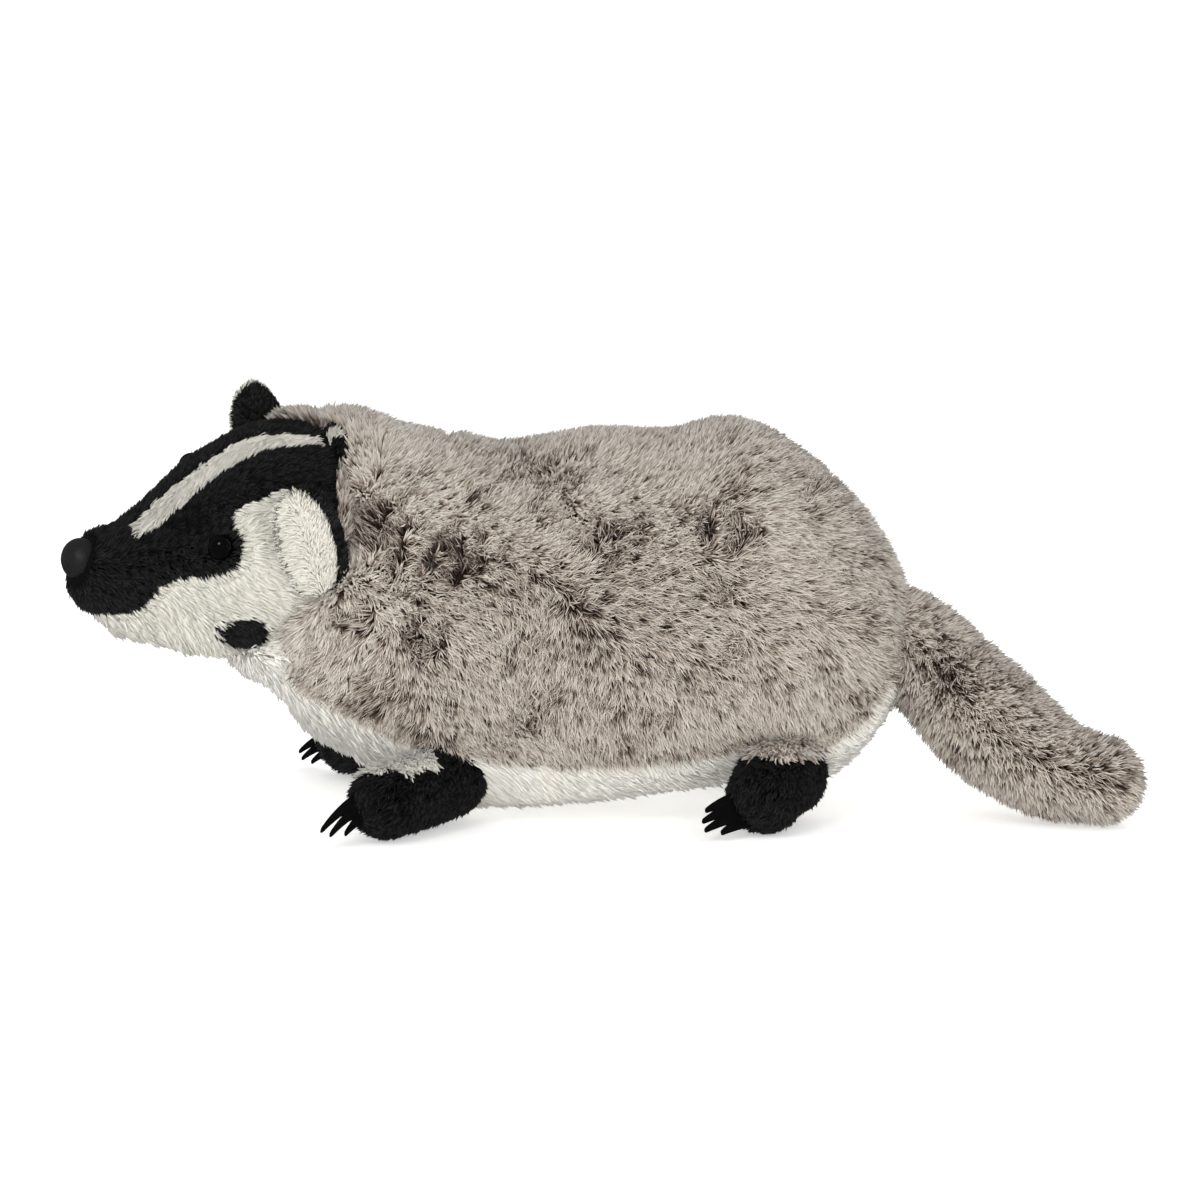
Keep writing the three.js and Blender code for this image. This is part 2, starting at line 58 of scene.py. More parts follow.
BELLY_SEAM = [
    [-132, 84], [-121, 76], [-118.5, 66], [-117, 57], [-112, 49], [-99, 43], [-85, 36], [-68, 29],
    [-45, 23], [-10, 21], [20, 23], [45, 27], [72, 27], [90, 31], [103, 46], [118, 72],
]
BELLY_CORNERS = [[118, -50], [-170, -50], [-170, 84]]
NECK_SEAM = [[-62, 180], [-62, 126], [-64, 108], [-73.5, 90], [-84.5, 71], [-91.5, 56], [-115, -20]]
NECK_CORNERS = [[-220, -20], [-220, 180]]
GRIZZLED_PILE = 8.0  # how deep the backing lies under the tips of each pile
WHITE_PILE = 5.0
SEAM_DEPTH = 1.6
SEAM_WIDTH = 2.2
NECK_SEAM_SHARE = 0.3  # of that depth
TUCK_SLOPE, TUCK_MOST = 1.5, 22  # how it goes into the head
ENDS_DRAWN_IN = 0.955  # the backing's share of the form's length
OFF_FLOOR = 1.0
CROWN_HEIGHT = 20  # where the crown begins in the head's frame
BODY_GRID = 150, 241
BLACK_KNIT, WHITE_KNIT, GRIZZLED_KNIT = "060606", "eeeae1", "4a3c34"

HEAD_SEAM = [
    [-2, 90], [-1, 47], [6, 38], [3, 22], [-5, 10], [-13, 0], [-19, -10], [-24, -20], [-33, -28],
    [-43, -35], [-52, -50], [-70, -70],
]
HEAD_CORNERS = [[-260, -70], [-260, 90]]


def through(rows, at, column=1):
    """Value at a place along rows of [place, value, ...]: cubic pieces with averaged slopes."""
    rows = np.asarray(rows, float)
    place, value = rows[:, 0], rows[:, column]
    step = np.diff(value) / np.diff(place)
    slope = np.concatenate([step[:1], (step[:-1] + step[1:]) / 2, step[-1:]])
    i = np.clip(np.searchsorted(place, at, side="left") - 1, 0, len(place) - 2)
    span = place[i + 1] - place[i]
    t = np.clip((at - place[i]) / span, 0, 1)
    start = value[i] * (1 + 2 * t) * (1 - t) ** 2 + slope[i] * span * t * (1 - t) ** 2
    return start + value[i + 1] * t * t * (3 - 2 * t) - slope[i + 1] * span * t * t * (1 - t)


def round_end(over):
    """How far a round end closes a shape: sqrt(1 - over^2), with over from 0 at its start to 1 at its tip."""
    return np.sqrt(np.maximum(0, 1 - np.maximum(over, 0) ** 2))


def squared(wave, power):
    """A sine or cosine with its size raised to a power, for a superellipse."""
    return np.sign(wave) * np.abs(wave) ** power


def once_round(along, columns):
    """A closed grid's two parameters: along its rows, and from -pi to pi round its columns."""
    return np.meshgrid(along, np.linspace(-np.pi, np.pi, columns), indexing="ij")


def close_at_ends(rows):
    """Shares from 0 to 1, closer together towards both: (1 - cos) / 2 of even angles."""
    return (1 - np.cos(np.linspace(0, np.pi, rows))) / 2


def form_points(form, x, angle, grow=0.0):
    """A stuffed form grown by grow: superellipses across x between two round ends."""
    rows = np.asarray(form["stations"], float)
    front = (rows[0, 0] - grow + form["front_cap"] - x) / form["front_cap"]
    rear = (x - rows[-1, 0] - grow + form["rear_cap"]) / form["rear_cap"]
    close = round_end(np.maximum(front, rear))
    middle, up, down, half = (through(rows, x, column) for column in (1, 2, 3, 4))
    sine, cosine = np.sin(angle), np.cos(angle)
    power = 2 / np.where(sine > 0, form["upper_square"], form["lower_square"])
    y = (half + grow) * close * squared(cosine, power)
    z = middle + (np.where(sine > 0, up, down) + grow) * close * squared(sine, power)
    return np.stack(np.broadcast_arrays(x, y, z), axis=-1)


def form_grid(form, rows, columns, grow=0.0):
    """A form's points on a grid, whose last column lies on its first."""
    share, angle = once_round(close_at_ends(rows), columns)
    first, last = form["stations"][0][0], form["stations"][-1][0]
    edge = np.max(grow)
    return form_points(form, first - edge + (last - first + 2 * edge) * share, angle, grow)


def smooth_path(stops, count):
    """Evenly spaced points on a curve through the stops: cubic pieces whose slopes weigh each neighbour
    by the root of its distance."""
    p = np.asarray(stops, float)
    p = np.vstack([2 * p[0] - p[1], p, 2 * p[-1] - p[-2]])
    gap = np.sqrt(norm(np.diff(p, axis=0), axis=1))[:, None]
    step = np.diff(p, axis=0) / gap
    slope = step[:-1] - (p[2:] - p[:-2]) / (gap[1:] + gap[:-1]) + step[1:]
    t = np.linspace(0, 1, 60)[:, None, None]
    start = p[1:-2] * (1 + 2 * t) * (1 - t) ** 2 + slope[:-1] * gap[1:-1] * t * (1 - t) ** 2
    end = p[2:-1] * t * t * (3 - 2 * t) - slope[1:] * gap[1:-1] * t * t * (1 - t)
    fine = (start + end).transpose(1, 0, 2).reshape(-1, p.shape[1])
    along = np.concatenate([[0], np.cumsum(norm(np.diff(fine, axis=0), axis=1))])
    at = np.linspace(0, along[-1], count)
    return np.stack([np.interp(at, along, fine[:, k]) for k in range(p.shape[1])], axis=1)


def inside_by(spots, line, corners, count=60):
    """How far flat spots lie inside a smooth line closed by corners: the distance to the nearest side,
    less than zero outside."""
    edge = np.vstack([smooth_path(line, count), np.reshape(corners, (-1, 2))])
    nearest = np.full(spots.shape[:-1], np.inf)
    within = np.zeros(spots.shape[:-1], bool)
    for start, end in zip(edge, np.roll(edge, -1, axis=0)):
        way = end - start
        rel = spots - start
        t = np.clip(rel @ way / max(way @ way, 1e-9), 0, 1)
        nearest = np.minimum(nearest, norm(rel - t[..., None] * way, axis=-1))
        spans = (spots[..., 1] < start[1]) != (spots[..., 1] < end[1])
        crossing = start[0] + way[0] * (spots[..., 1] - start[1]) / (way[1] if way[1] else 1)
        within ^= spans & (spots[..., 0] < crossing)
    return np.where(within, nearest, -nearest)


def rotation(axis, degrees):
    """Matrix of a turn about an axis, by the right-hand rule."""
    c, s = np.cos(np.radians(degrees)), np.sin(np.radians(degrees))
    rows = {
        "x": [[1, 0, 0], [0, c, -s], [0, s, c]],
        "y": [[c, 0, s], [0, 1, 0], [-s, 0, c]],
        "z": [[c, -s, 0], [s, c, 0], [0, 0, 1]],
    }
    return np.array(rows[axis])


HEAD_AT = np.array([-107.5, 0, 100])
HEAD_TURN = rotation("z", 15) @ rotation("x", 20)  # tilted about its own length, then turned to its left


def into_head(points):
    """Points of the toy's frame in the head's."""
    return (points - HEAD_AT) @ HEAD_TURN


def out_of_head(points):
    """Points of the head's frame in the toy's."""
    return points @ HEAD_TURN.T + HEAD_AT


def ahead_of_seam(points):
    """How far points lie ahead of the seam at the back of the head, in mm."""
    return inside_by(into_head(points)[..., [0, 2]], HEAD_SEAM, HEAD_CORNERS)


NAPE_EDGE = [[-52, -6], [-46, -1.2], [-33, 1.7], [-20, 5.4], [-4, 8], [8, 2], [20, -7], [60, -7]]


def ahead_of_edge(points):
    """How far points lie ahead of the edge between the head's short pile and the nape's long one: the seam
    low down, and NAPE_EDGE over the crown."""
    local = into_head(points)
    high = ease(2, 14, local[..., 2])
    over_crown = through(NAPE_EDGE, np.clip(local[..., 1], -52, 60)) - local[..., 0]
    return over_crown * high + ahead_of_seam(points) * (1 - high)


def ease(low, high, value):
    """0 below low, 1 above high, and a soft step between."""
    t = np.clip((value - low) / (high - low), 0, 1)
    return t * t * (3 - 2 * t)


def groove(distance):
    """How deep a seam pulls the backing in at a distance from it: a soft notch, exp(-d^2)."""
    return SEAM_DEPTH * np.exp(-((distance / SEAM_WIDTH) ** 2))


def add_mesh(name, points, faces, values, material, uv=None, normals=None):
    """A smooth mesh object from arrays of points in mm, faces, and its points' values, map and normals."""
    mesh = bpy.data.meshes.new(name)
    corners = faces.shape[1]
    mesh.vertices.add(len(points))
    mesh.vertices.foreach_set("co", ((points + MIDDLE) * 0.001).astype(np.float32).ravel())
    mesh.loops.add(faces.size)
    mesh.loops.foreach_set("vertex_index", faces.astype(np.int32).ravel())
    mesh.polygons.add(len(faces))
    mesh.polygons.foreach_set("loop_start", np.arange(0, faces.size, corners, dtype=np.int32))
    mesh.update(calc_edges=True)
    mesh.polygons.foreach_set("use_smooth", np.ones(len(faces), bool))
    if uv is not None:
        places = uv[faces.ravel()].astype(np.float32)
        mesh.uv_layers.new(name="OFBake").uv.foreach_set("vector", places.ravel())
    for key, value in values.items():
        mesh.attributes.new(key, "FLOAT", "POINT").data.foreach_set("value", value.astype(np.float32).ravel())
    if normals is not None:
        mesh.normals_split_custom_set_from_vertices(normals)
    mesh.materials.append(material)
    made = bpy.data.objects.new(name, mesh)
    bpy.context.scene.collection.objects.link(made)
    return made


def of_points(field):
    """A grid's field for each point of the closed mesh: its poles once, and no last column."""
    walls = field[1:-1, :-1].reshape(-1, *field.shape[2:])
    return np.concatenate([field[0, :1], walls, field[-1, :1]])


def closed_grid(grid):
    """Points and triangles of a grid whose end rows are poles and whose last column lies on its first."""
    rows, columns = grid.shape[0], grid.shape[1] - 1
    points = of_points(grid)
    index = 1 + np.arange((rows - 2) * columns).reshape(rows - 2, columns)
    beside = np.roll(index, -1, axis=1)
    walls = np.stack([index[:-1], index[1:], beside[1:], index[:-1], beside[1:], beside[:-1]], axis=-1)
    first = np.stack([np.zeros(columns, int), index[0], beside[0]], axis=-1)
    last = np.stack([np.full(columns, len(points) - 1), beside[-1], index[-1]], axis=-1)
    faces = np.vstack([first, walls.reshape(-1, 3), last])
    a, b, c = points[faces[:, 0]], points[faces[:, 1]], points[faces[:, 2]]
    if np.einsum("ij,ij->i", a - points.mean(0), np.cross(b - a, c - a)).sum() < 0:
        faces = faces[:, ::-1]
    return points, faces


def add_skin(name, grid, fields, material):
    """The closed mesh object of a grid, with its fields as values of its points."""
    points, faces = closed_grid(grid)
    return add_mesh(name, points, faces, {key: of_points(field) for key, field in fields.items()}, material)


class Wire:
    """One output in a material's nodes. Sums, differences and products with numbers add Math nodes."""

    def __init__(self, finish, socket):
        self.finish, self.socket = finish, socket

    def math(self, operation, first, second):
        return self.finish.node("Math", 0, {0: first, 1: second}, operation=operation)

    def __add__(self, other):
        return self.math("ADD", self, other)

    def __sub__(self, other):
        return self.math("SUBTRACT", self, other)

    def __rsub__(self, other):
        return self.math("SUBTRACT", other, self)

    def __mul__(self, other):
        return self.math("MULTIPLY", self, other)

    __radd__ = __add__
    __rmul__ = __mul__


class Finish:
    """A material or a world, with one method for every node."""

    def __init__(self, name, blocks=bpy.data.materials, shader="Principled BSDF"):
        self.block = blocks.new(name)
        self.block.use_nodes = True
        self.tree = self.block.node_tree
        self.shader = self.tree.nodes[shader]

    def node(self, kind, output, sockets={}, **settings):
        """Adds a node, with its settings and the values or wires of its sockets, and gives an output."""
        made = self.tree.nodes.new("ShaderNode" + kind)
        for name, value in settings.items():
            if name == "stops":
                ramp = made.color_ramp.elements
                while len(ramp) < len(value):
                    ramp.new(0.5)
                for element, (place, colour) in zip(ramp, value):
                    element.position = place
                    element.color = colour
            else:
                setattr(made, name, value)
        for name, value in sockets.items():
            self.fill(made.inputs[name], value)
        return Wire(self, made.outputs[output])

    def fill(self, socket, value):
        """Links a wire to a socket, or sets its value."""
        if isinstance(value, Wire):
            self.tree.links.new(value.socket, socket)
        else:
            socket.default_value = value

    def surface(self, sockets):
        """Sets the sockets of its shader and gives the material or world."""
        for name, value in sockets.items():
            self.fill(self.shader.inputs[name], value)
        return self.block

    def place(self):
        return self.node("TexCoord", "Object")

    def value(self, name):
        return self.node("Attribute", "Fac", attribute_name=name)

    def noise(self, scale, detail=2.0):
        """Uneven values about 0.5, with features of 1 / scale metres."""
        return self.node("TexNoise", "Fac", {"Vector": self.place(), "Scale": scale, "Detail": detail})

    def ramp(self, value, stops):
        return self.node("ValToRGB", "Color", {"Fac": value}, stops=stops)

    def blend(self, share, first, second, way="MIX"):
        """Colour between first and second, by share."""
        return self.node("Mix", 2, {0: share, 6: first, 7: second}, data_type="RGBA", blend_type=way)

    def bump(self, height, distance):
        return self.node("Bump", "Normal", {"Height": height, "Distance": distance})


def tint(code):
    """Linear colour, with alpha, of a six-digit screen colour."""
    value = np.array([int(code[i : i + 2], 16) for i in (0, 2, 4)]) / 255
    linear = np.where(value <= 0.04045, value / 12.92, ((value + 0.055) / 1.055) ** 2.4)
    return (*linear.tolist(), 1.0)


def backing(name, dark, pale):
    """Knitted backing with fine ribs: pale under white pile, dark under the rest, or black."""
    finish = Finish(name)
    fibre = finish.noise(900, 3)
    rib = finish.node("TexWave", "Fac", {"Vector": finish.place(), "Scale": 320, "Distortion": 3})
    base = finish.blend(finish.value("white"), tint(dark), tint(pale))
    base = finish.blend(finish.value("black"), base, tint(BLACK_KNIT))
    worn = finish.blend(fibre * 0.5, base, tint("c9c2ba"), "MULTIPLY")
    bumps = finish.bump(rib + fibre, 0.0004)
    return finish.surface({"Base Color": worn, "Roughness": 0.95, "Normal": bumps})


def body_marks(points):
    """How far points of the body lie inside the belly panel and the neck panel."""
    spots = points[..., [0, 2]]
    return inside_by(spots, BELLY_SEAM, BELLY_CORNERS), inside_by(spots, NECK_SEAM, NECK_CORNERS)


def body_depth(points):
    """How deep the backing lies: by its pile and its seams, and tucked well into the head."""
    belly, neck = body_marks(points)
    depth = GRIZZLED_PILE + (WHITE_PILE - GRIZZLED_PILE) * ease(-3, 3, belly)
    tuck = np.minimum(np.maximum(0, ahead_of_seam(points)) * TUCK_SLOPE, TUCK_MOST)
    return depth + groove(belly) + NECK_SEAM_SHARE * groove(neck) + tuck


outer = form_grid(BODY, *BODY_GRID)
body_skin = form_grid(BODY, *BODY_GRID, -body_depth(outer))
body_skin[..., 0] = outer[..., 0] * ENDS_DRAWN_IN
body_skin[..., 2] = np.maximum(body_skin[..., 2], OFF_FLOOR)
belly_share, neck_share = body_marks(outer)
pale = np.maximum(ease(-1, 1, belly_share), 0.9 * np.exp(-((neck_share / 1.8) ** 2)))
crown_share = np.minimum(ahead_of_edge(outer), into_head(outer)[..., 2] - CROWN_HEIGHT)
fields = {"white": pale, "black": ease(-0.5, 0.5, crown_share)}
shell = add_skin("body_shell", body_skin, fields, backing("body_backing", GRIZZLED_KNIT, WHITE_KNIT))
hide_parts("torso", "neck", "belly")
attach(shell, "root")


# Head shell. The real one is sewn from short black pile, with patches of white pile let in over the crown
# and on the cheeks, a small black badge on each cheek, and stuffing that rounds the brow over a low muzzle.
HEAD = {
    "stations": [
        [-95, -8, 19, 19, 17], [-83, -9.5, 16.8, 19, 19.5], [-75, -10, 17.8, 24, 21.5],
        [-68, -8, 19.2, 28.8, 25.5], [-60, -4, 21.3, 34.8, 30], [-52, -1, 26.2, 39.3, 36],
        [-44, 0, 32.7, 40.8, 41.5], [-34, 0, 40, 41, 45.5], [-22, 0, 45.6, 41, 48],
        [-8, 0, 45.6, 41, 48.5], [14, 0, 43, 40, 47],
    ],
    "front_cap": 15, "rear_cap": 14, "upper_square": 2.4, "lower_square": 2.2,
}
CHEEK = [
    [-96, -34], [-84, -22], [-72, -18], [-66, -10], [-60, -1], [-50, 5], [-40, 9], [-34.5, 16],
    [-34.5, 23], [-38, 28.5], [-34, 31.5], [-27, 35], [-22, 37], [-18.5, 38], [-14, 33], [-10, 24],
    [-7, 12], [-4, 5], [3, 3],
]
CHEEK_CORNERS = [[60, 3], [60, -90], [-96, -90]]
STRIPE = [  # along the crown, how far off its middle, half width
    [-70.5, -3.2, 4.2], [-65, -2.6, 7.6], [-54, -0.4, 7.8], [-34, 1, 7.6], [-18, 0.4, 6.2],
    [-6, -1.2, 4.0], [9, -5.0, 1.0],
]
BADGE_AT = [-34, -17.5]
BADGE_HALF = [10.5, 9.5]
BADGE_TILT = np.radians(-14)
BLACK_PILE = 3.5
BROW_PRESSED = 1.7  # how much flatter the pile lies over the brow
HEAD_FORWARD = 2.2  # centres the shortened backing
HEAD_GRID = 130, 201


def head_marks(points):
    """How far points of the head's frame lie inside the cheeks, the crown stripe and the badges."""
    cheek = inside_by(points[..., [0, 2]], CHEEK, CHEEK_CORNERS)
    rows = np.array(STRIPE, float)
    middle, half = rows[:, :2], rows[:, [2]] * [0, 1]
    outline = np.vstack([middle + half, (middle - half)[::-1]])
    stripe = np.where(points[..., 2] > 0, inside_by(points[..., :2], outline, [], 120), -20)
    across, up = points[..., 0] - BADGE_AT[0], points[..., 2] - BADGE_AT[1]
    turned_x = across * np.cos(BADGE_TILT) - up * np.sin(BADGE_TILT)
    turned_z = across * np.sin(BADGE_TILT) + up * np.cos(BADGE_TILT)
    badge = (1 - np.hypot(turned_x / BADGE_HALF[0], turned_z / BADGE_HALF[1])) * BADGE_HALF[1]
    return cheek, stripe, badge


def head_white(points):
    """How far points of the head's frame lie inside white fabric."""
    cheek, stripe, badge = head_marks(points)
    return np.maximum(np.minimum(cheek, -badge), stripe)


outer_head = form_grid(HEAD, *HEAD_GRID)
white_edge = head_white(outer_head)
depth = BLACK_PILE + (WHITE_PILE - BLACK_PILE) * ease(-2, 2, white_edge) + 0.5 * groove(white_edge)
along, up = outer_head[..., 0], outer_head[..., 2]
depth += BROW_PRESSED * (ease(8, 30, up) * ease(-78, -62, along) * ease(-1, -18, along))
head_skin = form_grid(HEAD, *HEAD_GRID, -depth)
head_skin[..., 0] = along * ENDS_DRAWN_IN - HEAD_FORWARD
head_skin = out_of_head(head_skin)
head_backing = backing("head_backing", BLACK_KNIT, WHITE_KNIT)
shell = add_skin("head_shell", head_skin, {"white": ease(-0.8, 0.8, white_edge)}, head_backing)
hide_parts("head", "crown_stripe", "cheeks", "badge_left", "badge_right")
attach(shell, "root")


# Ear shells. Each real ear is a flat cupped flap of two fabrics sewn edge to edge, black pile behind and
# white pile in front, and its foot is sewn to the side of the head at a slant.
EARS = {"left": (-1, [-12, 48, 24], 0.0), "right": (1, [-15, 48, 21], 3.6)}  # side, place, lining set back by
EAR_HALF = [12, 24]
EAR_TURN = rotation("z", 12) @ rotation("y", -18)  # leans back, then splays outwards
EAR_CUP = 3
FLAP = {"shrink": 3.0, "thick": 2.2, "ahead": -1.0, "outwards": -0.2}
LINING = {"shrink": 3.8, "thick": 2.0, "ahead": 2.2, "outwards": 2.6}


def ear_grid(side, layer, rows=40, columns=49):
    """One cupped layer of an ear: a flattened ball, bent by the square of the distance from its middle."""
    sign, at, set_back = EARS[side]
    polar, angle = once_round(np.linspace(0, np.pi, rows), columns)
    x = np.sin(polar) * np.cos(angle) * (EAR_HALF[0] - layer["shrink"])
    y = np.sin(polar) * np.sin(angle) * layer["thick"]
    z = np.cos(polar) * (EAR_HALF[1] - layer["shrink"])
    y = y + layer["outwards"] + EAR_CUP * ((x / EAR_HALF[0]) ** 2 + (z / EAR_HALF[1]) ** 2 - 1)
    x = x - layer["ahead"] + (set_back if layer is LINING else 0)
    return out_of_head((np.stack([x, y, z], axis=-1) @ EAR_TURN.T + at) * [1, sign, 1])


ear_backing = backing("ear_backing", BLACK_KNIT, WHITE_KNIT)
for side in EARS:
    for part, layer, white, slot in (("", FLAP, 0.0, "black_pile"), ("_lining", LINING, 1.0, "white_pile")):
        ear_skin = ear_grid(side, layer)
        fields = {"white": np.full(ear_skin.shape[:2], white)}
        shell = add_skin(f"ear_{side}{part}_shell", ear_skin, fields, ear_backing)
        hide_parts(f"ear_{side}{part}")
        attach(shell, "root")


# Leg shells. Each real leg is a short stuffed tube of black pile that splays out from under the body, with
# a flat sole where it lies on the floor.
LEGS = {
    "front_left": ([[-58, -38, 17], [-69, -54, 15], [-79, -69, 14.2]], [16, 15]),
    "front_right": ([[-66, 34, 17], [-83, 47, 15], [-99, 60, 14.2]], [16, 15]),
    "hind_left": ([[66, -38, 18.5], [62, -47, 17.2], [58, -56, 14]], [17, 15.5]),
    "hind_right": ([[66, 38, 18.5], [62, 47, 17.2], [58, 56, 14]], [17, 15.5]),
}
LEG_PILE = 3.5
SOLE_OFF_FLOOR = 0.8


def unit(vectors):
    return vectors / np.maximum(norm(vectors, axis=-1, keepdims=True), 1e-9)


def radius_at(radii, share):
    """A tube's radius at a share of its length, smoothly through evenly spaced radii."""
    return through(np.stack([np.arange(len(radii)) / (len(radii) - 1), radii], axis=1), share)


def tube_grid(stops, radii, rows, columns, grow=0.0):
    """A stuffed tube: rings square to a smooth path, with round ends, and the way that each ring faces."""
    path = smooth_path(stops, 200)
    length = norm(np.diff(path, axis=0), axis=1).sum()
    start, end = radii[0] + grow, radii[-1] + grow
    along = -start + (length + start + end) * close_at_ends(rows)
    share = np.clip(along / length, 0, 1)
    before, after = np.maximum(0, -along), np.maximum(0, along - length)
    close = np.sqrt(np.maximum(0, 1 - (before / start) ** 2 - (after / end) ** 2))
    way = np.gradient(path, axis=0)
    place = np.linspace(0, 1, 200)
    centre, way = [np.stack([np.interp(share, place, f[:, k]) for k in range(3)], 1) for f in (path, way)]
    way = unit(way)
    centre = centre + way * (after - before)[:, None]
    across = unit(np.cross([0, 0, 1], way))
    rise = np.cross(way, across)
    radius = (radius_at(radii, share) + grow) * close
    angle = np.linspace(-np.pi, np.pi, columns)[:, None]
    ring = across[:, None] * np.cos(angle) + rise[:, None] * np.sin(angle)
    return centre[:, None] + radius[:, None, None] * ring, way


def inside_tube(points, stops, radii):
    """How far points lie inside a stuffed tube: its radius less their distance to its path."""
    rings = zip(smooth_path(stops, 40), radius_at(radii, np.linspace(0, 1, 40)))
    return np.max([radius - norm(points - centre, axis=-1) for centre, radius in rings], axis=0)


HEMS = {"front": (24.5, WHITE_KNIT), "hind": (28.0, GRIZZLED_KNIT)}  # height of each hem, backing above it


def above_hem(name, points):
    """How far points of a leg lie under the pile that hangs over it: their height above the hem, and on a
    foreleg no further back than its middle."""
    high = points[..., 2] - HEMS[name.split("_")[0]][0]
    return np.minimum(high, LEGS[name][0][1][0] + 6 - points[..., 0]) if "front" in name else high


leg_skins = {}
for name, (path, radii) in LEGS.items():
    leg_skin, _ = tube_grid(path, radii, 60, 81, -LEG_PILE)
    leg_skin[..., 2] = np.maximum(leg_skin[..., 2], SOLE_OFF_FLOOR)
    leg_skins[name] = leg_skin
    above = {"white": ease(-0.5, 0.5, above_hem(name, leg_skin))}
    leg_backing = backing(f"leg_{name}_backing", BLACK_KNIT, HEMS[name.split("_")[0]][1])
    shell = add_skin(f"leg_{name}_shell", leg_skin, above, leg_backing)
    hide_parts(f"leg_{name}")
    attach(shell, "root")


# Tail shell. The real tail is a thick stuffed tube of the same grizzled pile, sewn to the rump, with a seam
# across it a third of the way along, and it lies on the floor at its tip.
TAIL_PATH = [
    [92, 0, 70], [112.4, -2, 62.5], [126, -10, 51], [149.5, -26, 29.5], [166, -35, 20], [181, -42, 17.2],
]
TAIL_RADII = [19, 21, 22.4, 23.6, 20.8, 17.8]
TAIL_SEAM = 0.37
TAIL_GRID = 110, 101

outer_tail, way = tube_grid(TAIL_PATH, TAIL_RADII, *TAIL_GRID)
seam_at = smooth_path(TAIL_PATH, 201)[round(200 * TAIL_SEAM)]
tail_middle = outer_tail[:, :-1].mean(axis=1)
seam_row = np.argmin(norm(tail_middle - seam_at, axis=1))
from_seam = (outer_tail - seam_at) @ way[seam_row]
tail_skin, tail_way = tube_grid(TAIL_PATH, TAIL_RADII, *TAIL_GRID, -GRIZZLED_PILE)
inward = unit(tail_skin[:, :-1].mean(axis=1, keepdims=True) - tail_skin)
tail_skin = tail_skin + inward * groove(from_seam)[..., None]
tail_skin[..., 2] = np.maximum(tail_skin[..., 2], OFF_FLOOR)
tail_backing = backing("tail_backing", GRIZZLED_KNIT, GRIZZLED_KNIT)
shell = add_skin("tail_shell", tail_skin, {}, tail_backing)
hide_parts("tail", "tail_base")
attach(shell, "root")


# Grizzled pile of the back and neck. The real fibres are 12 to 14 mm long, dark brown at the root and pale
# at the tip. They lean back along the toy and down its sides, and gather into clumps with dark between.
LONG_PILE = {"length": 8.6, "width": 0.56, "lift": 58, "clump": 5}
PILE_PER_MM2 = 2.4
TIP_HEIGHT = 6.0  # of the pile over its roots
RUFFLES = [  # along, height, half length, half height and strength of the places where the pile is ruffled
    [-80, 106, 10, 13, 1.4], [-55, 100, 15, 9, 1.2], [-88, 77, 10, 8, 0.8], [-66, 71, 9, 9, 0.6],
    [-83, 51, 12, 8, 0.7], [-28, 127, 15, 6, 0.6], [-3, 104, 11, 9, 0.7], [44, 108, 14, 8, 0.9],
    [76, 118, 12, 7, 0.6], [16, 45, 9, 6, 0.5], [-20, 53, 9, 6, 0.5],
]
BLOTCH = 21.0  # the size of the smaller darker places


def read(field, row, column):
    """A grid's field between its points, blended from the four round each place."""
    i, j = row.astype(int), column.astype(int)
    s, t = (row - i)[:, None], (column - j)[:, None]
    first = field[i, j] * (1 - t) + field[i, j + 1] * t
    return first * (1 - s) + (field[i + 1, j] * (1 - t) + field[i + 1, j + 1] * t) * s


def outward(grid):
    """Unit normals of a closed grid, pointing away from its middle line."""
    down = np.gradient(grid, axis=0)
    over = np.roll(grid[:, :-1], -1, axis=1) - np.roll(grid[:, :-1], 1, axis=1)
    over = np.concatenate([over, over[:, :1]], axis=1)
    normal = unit(np.cross(down, over))
    if (normal * (grid - grid.mean(axis=1, keepdims=True))).sum() < 0:
        normal = -normal
    for pole, beside in ((0, 2), (-1, -3)):
        normal[pole] = unit(grid[pole].mean(axis=0) - grid[beside].mean(axis=0))
    return normal


def waves(points, size, seed, count=9):
    """An uneven swell over space, about -1 to 1, and the way it rises: a sum of plane waves of about that
    size in mm."""
    rng = np.random.default_rng(seed)
    way = unit(rng.normal(size=(count, 3))) * (2 * np.pi / size) * rng.uniform(0.7, 1.5, (count, 1))
    phase = points @ way.T + rng.uniform(0, 2 * np.pi, count)
    scale = 1.2 / np.sqrt(count)
    return np.sin(phase).sum(axis=-1) * scale, np.cos(phase) @ way * scale * size / (2 * np.pi)


def flat_on(normal, way):
    """Unit directions of way along a surface with these normals."""
    return unit(way - normal * (way * normal).sum(axis=-1, keepdims=True))


TUFT_FACES = np.array([[2, 1, 0], [1, 3, 0], [3, 2, 0], [2, 3, 1]])
TUFT_MIDDLE, TUFT_STEEPER = 0.42, 0.35  # where a tuft bends over, and how much steeper it is before
TUFT_PATCH = np.array([[0, -1], [-1, 0], [1, 0], [0, 1]]) * 0.0015
TUFT_OFF_FLOOR = 0.3
MAP_EDGE = 0.003


